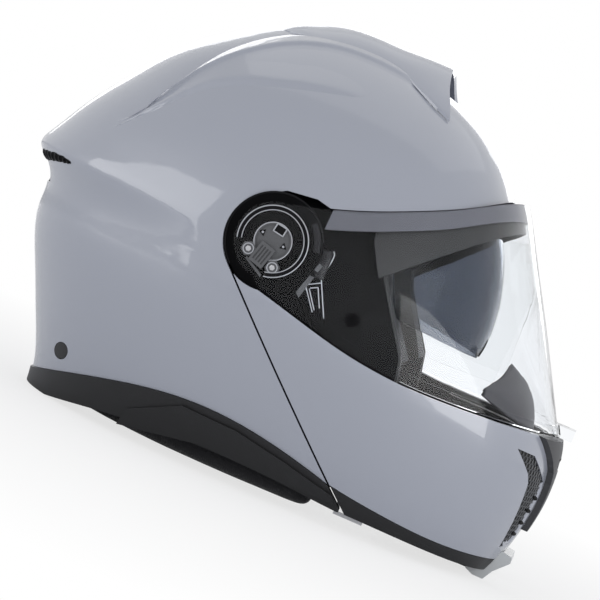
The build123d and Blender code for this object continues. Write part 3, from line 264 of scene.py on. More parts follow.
@dataclass(frozen=True)
class Moulded(Finish):
    """Moulded plastic or rubber with a fine grain."""

    colour: Colour
    roughness: float = 0.5
    grain_scale: float = 1400.0
    grain_depth: float = 0.00004
    specular: float = 0.5

    def shader(self, t: Tree) -> Socket:
        """See Finish.shader."""
        relief = t.effect(Effect.GRAIN, self.grain_scale)["Height"]
        dust = t.effect(Effect.DUST, 22.0)["Mask"]
        rough = t.math("MULTIPLY_ADD", dust, 0.10, self.roughness)
        return t.surface(t.mix(dust, self.colour, shade(self.colour, 1.35)), rough, relief, self.grain_depth,
                         Specular_IOR_Level=self.specular)


@dataclass(frozen=True)
class Knit(Finish):
    """Knitted or woven cloth with a soft sheen."""

    colour: Colour
    thread_scale: float = 500.0
    depth: float = 0.0003
    roughness: float = 0.9

    def shader(self, t: Tree) -> Socket:
        """See Finish.shader."""
        weave = t.effect(Effect.WEAVE, self.thread_scale)
        relief = t.math("ADD", weave["Height"], t.effect(Effect.GRAIN, 900.0, 0.5)["Height"])
        colour = t.mix(weave["Mask"], shade(self.colour, 0.5), shade(self.colour, 1.6))
        return t.surface(colour, self.roughness, relief, self.depth, Sheen_Weight=0.35, Sheen_Roughness=0.4)


@dataclass(frozen=True)
class BeadFoam(Finish):
    """Moulded bead foam: packed cells with dark joints."""

    colour: Colour
    cells: float = 420.0
    depth: float = 0.0003

    def shader(self, t: Tree) -> Socket:
        """See Finish.shader."""
        cells = t.add("ShaderNodeTexVoronoi", Vector=t.place(), Scale=self.cells, feature="DISTANCE_TO_EDGE")
        mask = t.math("MINIMUM", t.math("MULTIPLY", cells.outputs["Distance"], 6.0), 1.0)
        return t.surface(t.mix(mask, shade(self.colour, 0.5), self.colour), 0.7, mask, self.depth)


@dataclass(frozen=True)
class Metal(Finish):
    """Zinc-plated or brushed metal with fine scratches."""

    colour: Colour
    roughness: float = 0.30
    scratch: float = 0.00001

    def shader(self, t: Tree) -> Socket:
        """See Finish.shader."""
        grain = t.effect(Effect.GRAIN, 800.0)
        rough = t.math("MULTIPLY_ADD", grain["Mask"], 0.12, self.roughness)
        return t.surface((*self.colour, 1.0), rough, grain["Height"], self.scratch, Metallic=1.0)


@dataclass(frozen=True)
class Clear(Finish):
    """Clear or smoked sheet: glass that lets lamp light through to the pieces behind it."""

    tint: Colour
    index: float

    def shader(self, t: Tree) -> Socket:
        """See Finish.shader. Shadow rays pass a tinted see-through shader, and all other rays meet the glass."""
        dust = t.effect(Effect.DUST, 14.0)["Mask"]
        glass = t.add("ShaderNodeBsdfPrincipled", Base_Color=t.mix(dust, shade(self.tint, 0.98), self.tint),
                      Roughness=t.math("MULTIPLY", dust, 0.004), IOR=self.index, Transmission_Weight=1.0)
        through = t.add("ShaderNodeBsdfTransparent", Color=(*self.tint, 1.0))
        return t.blend(t.add("ShaderNodeLightPath").outputs["Is Shadow Ray"], glass, through)


PEARL = Lacquer((0.365, 0.385, 0.445), coat_roughness=0.05)
TIP_GREY = Lacquer((0.58, 0.60, 0.61), roughness=0.35)
BLACK = Moulded((0.009, 0.009, 0.010), roughness=0.42)
BLACK_SMOOTH = Moulded((0.003, 0.003, 0.0035), roughness=0.38, grain_depth=0.000002, specular=0.04)
BLACK_GLOSS = Moulded((0.005, 0.005, 0.006), roughness=0.16, grain_depth=0.000001, specular=0.15)
PAD_BLACK = Moulded((0.018, 0.018, 0.020), roughness=0.3, grain_depth=0.000002, specular=0.15)
GREY = Moulded((0.045, 0.046, 0.05), roughness=0.5)
MECHANISM = Moulded((0.10, 0.102, 0.108), roughness=0.3, grain_depth=0.00001)
# Pale grey for small bright pieces at the pivots; on the bayonet ring's two thin rims it is painted highlight,
# standing for the light caught along the clear cover's edges
PALE_PARTS_AND_PAINTED_HIGHLIGHT = Moulded((0.42, 0.43, 0.46), roughness=0.15, grain_depth=0.000004)
NET_GREY = Moulded((0.085, 0.088, 0.095), roughness=0.35, grain_depth=0.00001)
RUBBER = Moulded((0.008, 0.008, 0.008), roughness=0.6, grain_scale=900.0, specular=0.12)
SEAL_GREY = Moulded((0.10, 0.10, 0.115), roughness=0.5, grain_depth=0.00001, specular=0.2)
SKIRT = Moulded((0.045, 0.044, 0.050), roughness=0.5, grain_depth=0.00001, specular=0.3)
CLOTH = Knit((0.022, 0.022, 0.025))
WEBBING = Knit((0.012, 0.012, 0.013), thread_scale=260.0, depth=0.0006, roughness=0.75)
FOAM = BeadFoam((0.035, 0.035, 0.038))
STEEL = Metal((0.62, 0.62, 0.64))
VISOR = Clear((0.957, 0.973, 0.992), index=1.2)
INSERT = Clear((0.985, 0.99, 0.99), index=1.08)
SMOKE = Clear((0.26, 0.28, 0.325), index=1.15)

# CAD nodes by finish, without their side; a node that isn't named is BLACK
FINISHED: dict[Finish, tuple[str, ...]] = {
    PEARL: ("outer_shell", "chin_bar_shell", "top_vent_hood"),
    VISOR: ("visor_lens",),
    INSERT: ("pinlock_lens", "pinlock_pins"),
    SMOKE: ("sun_visor",),
    TIP_GREY: ("chin_tip_guard",),
    FOAM: ("eps_liner", "eps_rear_block", "chin_foam"),
    SEAL_GREY: ("eyeport_seal",),
    RUBBER: ("breath_deflector", "sun_cable"),
    BLACK_SMOOTH: ("arm_plate", "base_plate"),
    MECHANISM: ("pivot_hub", "visor_release", "link_needles"),
    GREY: ("chin_centre_vent",),
    STEEL: ("pivot_bolts", "strikers", "latch_hook", "hook_pins", "strap_rivets", "release_lever_pin",
            "sun_visor_pins", "buckle_lever", "ratchet_tongue"),
    CLOTH: ("crown_pad", "cheek_pad", "neck_roll", "chin_curtain"),
    WEBBING: ("strap",),
}


# Objects and modifiers

def link(name: str, data: bpy.types.ID) -> Object:
    """Puts a mesh, a camera or a light in the scene as an object at the origin."""
    obj = bpy.data.objects.new(name, data)
    bpy.context.scene.collection.objects.link(obj)
    return obj


def dress(obj: Object, finish: Finish) -> None:
    """Gives an object one finish."""
    obj.data.materials.clear()
    obj.data.materials.append(finish.material())


def modify(obj: Object, kind: str, **values: object) -> None:
    """Adds a modifier.

    Args:
        obj: the object that gets it.
        kind: the modifier's type.
        values: its settings by name.
    """
    modifier = obj.modifiers.new(kind.lower(), kind)
    for name, value in values.items():
        setattr(modifier, name, value)


def bake(obj: Object) -> None:
    """Applies an object's modifiers.

    Args:
        obj: the object, which gets a new mesh.
    """
    graph = bpy.context.evaluated_depsgraph_get()
    mesh = bpy.data.meshes.new_from_object(obj.evaluated_get(graph))
    obj.modifiers.clear()
    obj.data = mesh


def ride(obj: Object, body: str) -> None:
    """Fixes a piece to a body and reports it."""
    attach(obj, body)
    LOG.info("made %s on %s", obj.name, body)


def read(mesh: Mesh, field: str = "co") -> Array:
    """Returns a mesh's points in metres, or its points' normals where the field is normal."""
    flat = np.empty(len(mesh.vertices) * 3)
    mesh.vertices.foreach_get(field, flat)
    return flat.reshape(-1, 3)


def write(mesh: Mesh, points: Array) -> None:
    """Moves a mesh's points to new places in metres."""
    mesh.vertices.foreach_set("co", points.ravel())
    mesh.update()


def lift(obj: Object, heights: Array) -> None:
    """Moves each point along its normal by its height in millimetres: p' = p + h n."""
    write(obj.data, read(obj.data) + read(obj.data, "normal") * heights.reshape(-1, 1) * MM)


def drape(obj: Object, heights: Array) -> None:
    """Lays a mesh on the nearest surface of the shell, then lifts it.

    Args:
        obj: the mesh object.
        heights: how far each point stands off the shell, in millimetres.
    """
    modify(obj, "SHRINKWRAP", wrap_method="NEAREST_SURFACEPOINT", wrap_mode="OUTSIDE_SURFACE",
           target=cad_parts["outer_shell"])
    bake(obj)
    lift(obj, heights)


# Meshes from arrays

def grid_faces(rows: int, columns: int, close_rows: bool = False, close_columns: bool = False) -> Faces:
    """Quads of a grid: each joins a point to its neighbours along both parameters.

    Args:
        rows: number of points along the first parameter.
        columns: number of points along the second parameter.
        close_rows: whether the last row joins the first.
        close_columns: whether the last column joins the first. With open rows the grid is a tube, and its two
            ends get a face each.

    Returns:
        The point numbers of each face.
    """
    r = np.arange(rows if close_rows else rows - 1)
    c = np.arange(columns if close_columns else columns - 1)
    rr, cc = np.meshgrid(r, c, indexing="ij")
    r2, c2 = (rr + 1) % rows, (cc + 1) % columns
    corners = (rr * columns + cc, rr * columns + c2, r2 * columns + c2, r2 * columns + cc)
    faces = np.stack(corners, axis=-1).reshape(-1, 4).tolist()
    if close_columns and not close_rows:
        faces += [list(range(columns))[::-1], list(range((rows - 1) * columns, rows * columns))]
    return faces


def flipped(faces: Faces) -> Faces:
    """Returns the faces wound the other way round."""
    return [face[::-1] for face in faces]


def put_object(name: str, points: Array, faces: Faces, finish: Finish, smooth: bool = True) -> Object:
    """Makes an object from points and faces.

    Args:
        name: the piece's name.
        points: its points in millimetres.
        faces: point numbers of each face.
        finish: its finish.
        smooth: whether the faces are shaded smooth.

    Returns:
        The new object at the origin.
    """
    mesh = bpy.data.meshes.new(name)
    mesh.from_pydata((points.reshape(-1, 3) * MM).tolist(), [], faces)
    mesh.polygons.foreach_set("use_smooth", np.full(len(mesh.polygons), smooth))
    mesh.materials.append(finish.material())
    return link(name, mesh)


def pair(name: str, points: Array, faces: Faces, finish: Finish, smooth: bool = True) -> list[Object]:
    """Makes a left piece and its mirror image; see put_object. The name has no side."""
    return [put_object(f"{side}_{name}", points * (1.0, turn, 1.0), faces if turn > 0 else flipped(faces), finish,
                       smooth) for side, turn in SIDES]


def smooth_line(places: Array | tuple, count: int) -> Array:
    """Points along a Catmull-Rom curve: each span is a cubic whose end slopes join its neighbours' chord.

    Args:
        places: the points that it passes through.
        count: how many points it gives.

    Returns:
        The points along the curve.
    """
    places = np.array(places, float)
    p = np.vstack([2 * places[0] - places[1], places, 2 * places[-1] - places[-2]])
    t = np.linspace(0, len(places) - 1 - 1e-9, count)
    k = t.astype(int)
    u = (t - k)[:, None]
    a, b, c, d = p[k], p[k + 1], p[k + 2], p[k + 3]
    return 0.5 * (2 * b + (c - a) * u + (2 * a - 5 * b + 4 * c - d) * u ** 2 + (3 * b - a - 3 * c + d) * u ** 3)


def headings(line: Array) -> Array:
    """Unit directions along a line of points."""
    ahead = np.gradient(line, axis=0)
    return ahead / np.linalg.norm(ahead, axis=1, keepdims=True)


def squared(wave: Array, power: float) -> Array:
    """Turns a sine or cosine into a blunt one: sign(w) |w|^power."""
    return np.sign(wave) * np.abs(wave) ** power


def eased(share: Array) -> Array:
    """The smooth step t^2 (3 - 2t)."""
    return share * share * (3 - 2 * share)


def cubic_rows(heights: Array, values: Array, level: Array) -> Array:
    """A natural cubic spline through one column of a form's rows, read at any levels.

    Args:
        heights: the rows' heights.
        values: the rows' values.
        level: the heights to read it at.

    Returns:
        The values at those heights.
    """
    n = len(heights)
    h = np.diff(heights)
    system = np.eye(n)
    right = np.zeros(n)
    i = np.arange(1, n - 1)
    system[i, i - 1], system[i, i], system[i, i + 1] = h[i - 1], 2 * (h[i - 1] + h[i]), h[i]
    right[i] = 6 * (np.diff(values)[i] / h[i] - np.diff(values)[i - 1] / h[i - 1])
    bend = np.linalg.solve(system, right)
    k = np.clip(np.searchsorted(heights, level) - 1, 0, n - 2)
    a, b, w = heights[k + 1] - level, level - heights[k], h[k]
    return (bend[k] * a ** 3 + bend[k + 1] * b ** 3) / (6 * w) + (values[k] / w - bend[k] * w / 6) * a + (
        values[k + 1] / w - bend[k + 1] * w / 6) * b


@dataclass(frozen=True)
class ShellForm:
    """The helmet's outer form ahead of its middle: level sections that are squared ellipses.

    Each row is a share of the height, and there the shares of the front reach and of the half width.
    """

    height: float = 254.5
    front: float = 170.5
    rear: float = 174.0
    half_width: float = 124.3
    middle: float = -6.0
    power: float = 2.4
    rows: Path = (
        (-0.047, 0.886, 0.813), (0.016, 0.930, 0.861), (0.079, 0.965, 0.909), (0.157, 0.991, 0.949),
        (0.236, 1.000, 0.977), (0.306, 0.991, 0.994), (0.369, 0.958, 1.000), (0.420, 0.892, 0.999),
        (0.452, 0.859, 0.997))

    def read(self, level: Array) -> tuple[Array, Array]:
        """Returns the front reach and the half width at any levels, in millimetres."""
        heights, fronts, widths = np.array(self.rows).T
        return (cubic_rows(heights * self.height, fronts * self.front, level),
                cubic_rows(heights * self.height, widths * self.half_width, level))

    def front_x(self, y: Array, level: Array, depth: float) -> Array:
        """X of the form's front where it is y to the side, drawn in by a depth.

        The section's half width and reach shrink by the depth, then the squared ellipse is solved for X.
        """
        reach, wide = self.read(level)
        share = np.clip(np.abs(y) / (wide - depth), 0, 0.999)
        return self.middle + (reach - self.middle - depth) * (1 - share ** self.power) ** (1 / self.power)


FORM = ShellForm()


# Soft pieces

@dataclass
class Padding:
    """The removable padding: crown pad, cheek pads and neck roll, swollen by a cloth simulation."""

    voxel: float = 4.5
    shrink: float = 1.6
    pressure: float = 4.0
    frames: int = 18
    seam_depth: float = 2.0
    seam_width: float = 3.0
    rib_places: Path = (
        (50, 0.7, 168), (20, 1.0, 196), (-30, 1.0, 204), (-75, 0.9, 180), (-108, 0.8, 130))
    rib_sides: tuple[float, ...] = (-30.0, 0.0, 30.0)
    cheek_lines: tuple[Path, ...] = (
        ((-30, 64, 70), (5, 61, 74), (40, 62, 70), (62, 66, 62)),
        ((-32, 65, 38), (5, 61, 34), (40, 62, 34), (62, 66, 36)))

    def swell(self, obj: Object, cap: float) -> None:
        """Remeshes a solid's copy, blows it up as cloth and limits how far it moves.

        Args:
            obj: the copy.
            cap: how far a point may move, in millimetres.
        """
        modify(obj, "WELD", merge_threshold=0.00001)
        modify(obj, "REMESH", mode="VOXEL", voxel_size=self.voxel * MM)
        modify(obj, "SMOOTH", factor=0.5, iterations=4)
        bake(obj)
        inner = read(obj.data) - read(obj.data, "normal") * self.shrink * MM
        obj.data.vertices.foreach_set("co", inner.ravel())
        cloth = obj.modifiers.new("cloth", "CLOTH")
        cloth.settings.use_pressure = True
        cloth.settings.uniform_pressure_force = self.pressure
        cloth.settings.effector_weights.gravity = 0.0
        cloth.point_cache.frame_end = self.frames
        for number in range(1, self.frames + 1):
            bpy.context.scene.frame_set(number)
        bake(obj)
        bpy.context.scene.frame_set(1)
        move = read(obj.data) - inner
        far = np.linalg.norm(move, axis=1, keepdims=True)
        move *= np.minimum(1.0, cap * MM / np.maximum(far, 1e-9))
        obj.data.vertices.foreach_set("co", (inner + move).ravel())

    def press_seams(self, obj: Object, seams: list[Array]) -> None:
        """Sinks points near sewn lines: the depth falls off as a bell with the distance from the line.

        Args:
            obj: the padded object.
            seams: the lines, in millimetres.
        """
        points = read(obj.data)
        near = np.full(len(points), 1e9)
        for seam in seams:
            for place in smooth_line(seam, 60) * MM:
                near = np.minimum(near, np.linalg.norm(points - place, axis=1))
        lift(obj, -self.seam_depth * np.exp(-(near / (self.seam_width * MM)) ** 2))

    def cushion(self, node: str, name: str, cap: float, seams: list[Array]) -> None:
        """Makes one pad from a copy of a CAD node, hides that node and fixes the pad to the shell.

        Args:
            node: the CAD node that it stands for.
            name: the piece's name.
            cap: how far a point may move, in millimetres.
            seams: its sewn lines, in millimetres.
        """
        obj = link(name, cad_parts[node].data.copy())
        self.swell(obj, cap)
        dress(obj, CLOTH)
        if seams:
            self.press_seams(obj, seams)
        modify(obj, "SUBSURF", levels=1, render_levels=1)
        obj.data.polygons.foreach_set("use_smooth", np.ones(len(obj.data.polygons), bool))
        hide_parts(node)
        ride(obj, "shell")

    def build(self) -> None:
        """Makes all the padding."""
        for side, turn in SIDES:
            lines = [np.array(line, float) * (1.0, turn, 1.0) for line in self.cheek_lines]
            self.cushion(side + "_cheek_pad", side + "_cheek_cushion", 3.0, lines)
        ribs = [np.array([(x, y * share, z) for x, share, z in self.rib_places], float) for y in self.rib_sides]
        self.cushion("crown_pad", "crown_cushion", 2.0, ribs)
        self.cushion("neck_roll", "neck_cushion", 2.0, [])


@dataclass
class StrapWebbing:
    """The chin strap's two lengths of webbing, each a flat band carried along its line."""

    middle_x: float = -8.0
    width: float = 22.0
    thick: float = 1.7
    line: Line = (
        (85.05, 63.5), (85.05, 52.0), (84.9, 40.0), (83.2, 27.5), (78.4, 19.5), (70.0, 17.3), (60.0, 16.6),
        (48.0, 14.9), (36.0, 12.4))
    end_level: float = 9.5
    ends: Flat = (12.5, 26.5)
    bluntness: Flat = (0.25, 0.6)

    def band(self, side: str, turn: float, end: float) -> None:
        """Carries a rounded flat profile along the line, square to it in the front view.

        Args:
            side: which side it is on.
            turn: 1 for the left side, -1 for the right.
            end: Y of its lower end.
        """
        line = smooth_line([(0.0, y, z) for y, z in (*self.line, (end, self.end_level))], 90)
        normal = np.cross((1.0, 0.0, 0.0), headings(line))
        turns = np.linspace(0, 2 * math.pi, 24, endpoint=False)
        across = squared(np.cos(turns), self.bluntness[0]) * self.width / 2
        height = squared(np.sin(turns), self.bluntness[1]) * self.thick / 2
        points = line[:, None, :] + normal[:, None, :] * height[None, :, None]
        points[:, :, 0] += self.middle_x + across[None, :]
        points[:, :, 1] *= turn
        faces = grid_faces(*points.shape[:2], close_columns=True)
        obj = put_object(side + "_webbing", points, flipped(faces) if turn > 0 else faces, WEBBING)
        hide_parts(side + "_strap")
        ride(obj, "shell")

    def build(self) -> None:
        """Makes both bands."""
        for (side, turn), end in zip(SIDES, self.ends):
            self.band(side, turn, end)


@dataclass
class ChinCloth:
    """The cloth sheet that closes the gap under the chin."""

    rear_x: float = 96.5
    level: float = 22.6
    outer_depth: float = 23.2
    inner_depth: float = 48.0
    form_level: float = 22.9
    gather: float = 0.6
    gathers: float = 40.0
    thick: float = 1.0

    def build(self) -> None:
        """Carries a strip round the chin between two depths, with small gathers along its free edge."""
        turns = np.linspace(-1.0, 1.0, 81)
        level = np.full(len(turns), self.form_level)
        reach, wide = FORM.read(level)
        rows = []
        for depth in np.linspace(self.outer_depth, self.inner_depth, 14):
            edge_share = (self.rear_x - FORM.middle) / (reach[0] - FORM.middle - depth)
            y = turns * (wide[0] - depth) * (1 - min(edge_share, 1.0) ** FORM.power) ** (1 / FORM.power)
            free = (depth - self.outer_depth) / (self.inner_depth - self.outer_depth)
            z = self.level + self.gather * free * np.sin(turns * self.gathers)
            rows.append(np.stack([FORM.front_x(y, level, depth), y, z], axis=1))
        points = np.array(rows)
        obj = put_object("chin_cloth", points, grid_faces(*points.shape[:2]), CLOTH)
        modify(obj, "SOLIDIFY", thickness=self.thick * MM, offset=0.0)
        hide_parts("chin_curtain")
        ride(obj, "chin_bar")


# The pivots' details

def picture_place(dx: float, dy: float) -> Array:
    """Side-view place of a point seen in the photograph, from its offset right and up of the pivot in millimetres."""
    c, s = math.cos(Studio.tilt), math.sin(Studio.tilt)
    return np.array([PIVOT[0] + dx * c - dy * s, PIVOT[1] + dx * s + dy * c])


def picture_axes(angle: float) -> tuple[Array, Array]:
    """Directions along and across a line that the photograph shows at an angle in degrees."""
    a = math.radians(angle) + Studio.tilt
    return np.array([math.cos(a), math.sin(a)]), np.array([-math.sin(a), math.cos(a)])


def polygon(centre: Array, radius: float, corners: int, turn: float = 0.0) -> Array:
    """Corners of a regular polygon, with its first corner at an angle in degrees."""
    a = np.radians(turn) + np.linspace(0, 2 * math.pi, corners, endpoint=False)
    return centre + radius * np.column_stack([np.cos(a), np.sin(a)])


def box_outline(centre: Array, length: float, width: float, angle: float) -> Array:
    """Corners of a rectangle whose length lies at an angle in the photograph."""
    ahead, across = picture_axes(angle)
    return np.array([centre + length / 2 * u * ahead + width / 2 * v * across
                     for u, v in ((-1, -1), (1, -1), (1, 1), (-1, 1))])


def slab(name: str, outline: Array, low: float, high: float, finish: Finish, bevel: float = 0.3) -> None:
    """Extrudes a side-view outline sideways on both sides of the helmet, as a piece of the chin bar's arm.

    Args:
        name: the piece's name without its side.
        outline: corners as X and Z in millimetres.
        low: Y of its inner face.
        high: Y of its outer face.
        finish: its finish.
        bevel: the width of its rounded edges.
    """
    n = len(outline)
    spin = np.sum(outline[:, 0] * np.roll(outline[:, 1], -1) - np.roll(outline[:, 0], -1) * outline[:, 1])
    outline = outline if spin < 0 else outline[::-1]
    points = np.vstack([np.insert(outline, 1, y, axis=1) for y in (low, high)])
    faces = [list(range(n, 2 * n)), list(range(n))[::-1]]
    faces += [[k, (k + 1) % n, n + (k + 1) % n, n + k] for k in range(n)]
    for obj in pair(name, points, faces, finish, False):
        if bevel:
            modify(obj, "BEVEL", width=bevel * MM, segments=2, limit_method="ANGLE")
        ride(obj, "chin_bar")


def hoop(name: str, inner: float, outer: float, low: float, high: float, finish: Finish,
         span: Flat = (0.0, 360.0), centre: Flat = PIVOT) -> None:
    """Carries a blunt flat profile round a centre on both sides of the helmet, as a piece of the chin bar's arm.

    Args:
        name: the piece's name without its side.
        inner: inner radius.
        outer: outer radius.
        low: Y of its inner face.
        high: Y of its outer face.
        finish: its finish.
        span: first and last angle in degrees, from forward towards up.
        centre: its centre in the side view.
    """
    closed = span[1] - span[0] >= 360.0
    turns = np.radians(np.linspace(*span, 97 if closed else 49))[:-1 if closed else None, None]
    t = np.linspace(0, 2 * math.pi, 16, endpoint=False)[None, :]
    radius = squared(np.cos(t), 0.4) * (outer - inner) / 2 + (outer + inner) / 2
    along = squared(np.sin(t), 0.4) * (high - low) / 2 + (high + low) / 2
    points = np.stack([centre[0] + np.cos(turns) * radius, along + 0.0 * turns,
                       centre[1] + np.sin(turns) * radius], axis=-1)
    for obj in pair(name, points, grid_faces(*points.shape[:2], closed, True), finish):
        ride(obj, "chin_bar")


def strip(name: str, line: Line, width: float, finish: Finish, rise: float = 0.12) -> None:
    """Lays a narrow band onto each side's base plate, along a line seen in the photograph.

    Args:
        name: the piece's name without its side.
        line: offsets right and up of the pivot in millimetres.
        width: the band's width.
        finish: its finish.
        rise: how far its face stands off the plate.
    """
    root = 0.3
    path = smooth_line([picture_place(*offset) for offset in line], 20)
    ahead = headings(path)
    across = np.column_stack([-ahead[:, 1], ahead[:, 0]])
    flat = np.array([path + across * width * share for share in (-0.5, 0.0, 0.5)])
    points = np.insert(flat, 1, FAR_SIDE, axis=2)
    for (side, _), obj in zip(SIDES, pair(name, points, grid_faces(*flat.shape[:2]), finish)):
        modify(obj, "SHRINKWRAP", wrap_method="PROJECT", use_project_y=True, use_negative_direction=True,
               use_positive_direction=True, target=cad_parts[side + "_base_plate"])
        bake(obj)
        laid = read(obj.data) / MM
        hit = np.abs(laid[:, 1]) < FAR_SIDE - 1.0
        laid[~hit, 1] = laid[hit, 1].mean() if hit.any() else 0.0
        laid[:, 1] += rise * np.sign(laid[:, 1])
        write(obj.data, laid * MM)
        modify(obj, "SOLIDIFY", thickness=(rise + root) * MM, offset=-1.0)
        ride(obj, "shell")


@dataclass
class PivotDetail:
    """The mechanism seen round each pivot: rings, hub windows, screw lugs, spring clip and pads.

    Offsets are read in the photograph, right and up of the pivot; angles of its slide and bar too.
    """

    flange: float = 120.0
    hub_face: float = 119.8
    arm_face: float = 117.5
    ring_gap: Flat = (-82.0, 196.0)
    lug_offsets: Line = ((-13.2, -3.7), (-0.4, -14.2))
    bar_offset: Flat = (-10.6, -13.4)
    bar_angle: float = -52.8
    slide_offset: Flat = (4.0, 6.1)
    slide_angle: float = -33.0
    pad_width: float = 8.0
    pad_rise: float = 0.3
    wire_width: float = 0.55

    def rings(self) -> None:
        """The bayonet ring, cut open at its lower rear, with two thin pale rims that are painted highlights along its
        edges, and the rings round it.
        """
        # The outer and inner rims are painted highlight: pale grey rings stand for the bright lines of light along the
        # clear ring's edges
        for name, inner, outer, low, high, finish in (
                ("ring", 17.0, 19.5, -0.3, 2.2, BLACK_GLOSS), ("outer_painted_highlight", 19.1, 19.7, 1.8, 2.6, PALE_PARTS_AND_PAINTED_HIGHLIGHT),
                ("inner_painted_highlight", 16.7, 17.2, 1.6, 2.4, PALE_PARTS_AND_PAINTED_HIGHLIGHT)):
            hoop("bayonet_" + name, inner, outer, self.flange + low, self.flange + high, finish, self.ring_gap)
        hoop("hub_edge", 10.0, 10.6, self.flange + 0.4, self.flange + 1.0, PALE_PARTS_AND_PAINTED_HIGHLIGHT)
        hoop("pocket_ring", 26.0, 27.2, self.arm_face - 0.4, self.arm_face + 0.5, BLACK_GLOSS, (20.0, 230.0))

    def lugs(self) -> None:
        """Two screw lugs with sunk drives, and the straight bar between them."""
        for number, offset in enumerate(self.lug_offsets):
            place, name = picture_place(*offset), f"lug_{number}"
            slab(name, polygon(place, 4.3, 6, 20.0), self.flange, self.flange + 1.6, MECHANISM)
            hoop(name + "_rim", 2.5, 3.1, self.flange + 1.4, self.flange + 2.0, PALE_PARTS_AND_PAINTED_HIGHLIGHT, centre=tuple(place))
            slab(name + "_screw", polygon(place, 1.6, 6, 5.0), self.flange + 1.4, self.flange + 2.1, STEEL, 0.15)
        bar = box_outline(picture_place(*self.bar_offset), 13.0, 1.6, self.bar_angle)
        slab("ring_bar", bar, self.flange, self.flange + 0.7, MECHANISM)

    def hub(self) -> None:
        """The hub's raised window frame, its floor, and two pockets with pins beside it."""
        place = picture_place(*self.slide_offset)
        ahead, across = picture_axes(self.slide_angle)
        rail, post = (6.2, 0.7), (0.7, 5.2)
        for name, shift, size in (("top", 2.3 * across, rail), ("foot", -2.3 * across, rail),
                                  ("front", 3.0 * ahead, post), ("rear", -3.0 * ahead, post)):
            outline = box_outline(place + shift, *size, self.slide_angle)
            slab("window_" + name, outline, self.hub_face, self.hub_face + 1.0, PALE_PARTS_AND_PAINTED_HIGHLIGHT, 0.15)
        outline = box_outline(place, 5.6, 4.2, self.slide_angle)
        slab("window_floor", outline, self.hub_face, self.hub_face + 0.3, BLACK_GLOSS, 0.0)
        for name, offset, turn in (("upper", (-5.5, 5.1), 60.0), ("lower", (5.5, -3.0), -20.0)):
            place = picture_place(*offset)
            slab(name + "_pocket", polygon(place, 2.3, 3, turn), self.hub_face, self.hub_face + 0.4, BLACK_GLOSS, 0.15)
            slab(name + "_pin", polygon(place, 0.7, 10), self.hub_face, self.hub_face + 0.8, PALE_PARTS_AND_PAINTED_HIGHLIGHT, 0.1)

    def clips(self) -> None:
        """The spring clip's legs and bars, the pad above it with its bright rim, and the arc plate over the arm."""
        for name, line in (
                ("leg_rear", ((17.0, -23.5), (20.6, -38.1))), ("leg_rear_inner", ((19.0, -25.4), (21.6, -37.0))),
                ("leg_front", ((25.4, -20.4), (26.7, -41.4))), ("leg_front_inner", ((23.7, -25.0), (24.4, -36.0))),
                ("bar_top", ((17.0, -23.3), (25.2, -22.4))), ("bar_foot", ((19.4, -25.1), (23.9, -24.8))),
                ("rim_front", ((31.9, -5.5), (32.2, -7.8), (30.2, -12.0), (25.7, -18.9), (25.4, -20.4))),
                ("rim_rear", ((23.4, -4.6), (21.8, -8.0), (20.3, -11.2)))):
            strip("clip_" + name, line, self.wire_width, PALE_PARTS_AND_PAINTED_HIGHLIGHT)
        strip("clip_pad", ((27.6, -5.0), (27.0, -9.0), (24.8, -14.0), (22.6, -19.6)), self.pad_width, PAD_BLACK,
              self.pad_rise)
        hoop("arm_arc", 22.0, 25.4, self.arm_face - 0.3, self.arm_face + 0.5, PAD_BLACK, (8.0, 46.0))

    def build(self) -> None:
        """Makes all the pivot's details."""
        self.rings()
        self.lugs()
        self.hub()
        self.clips()


# Details of the shell and the chin bar

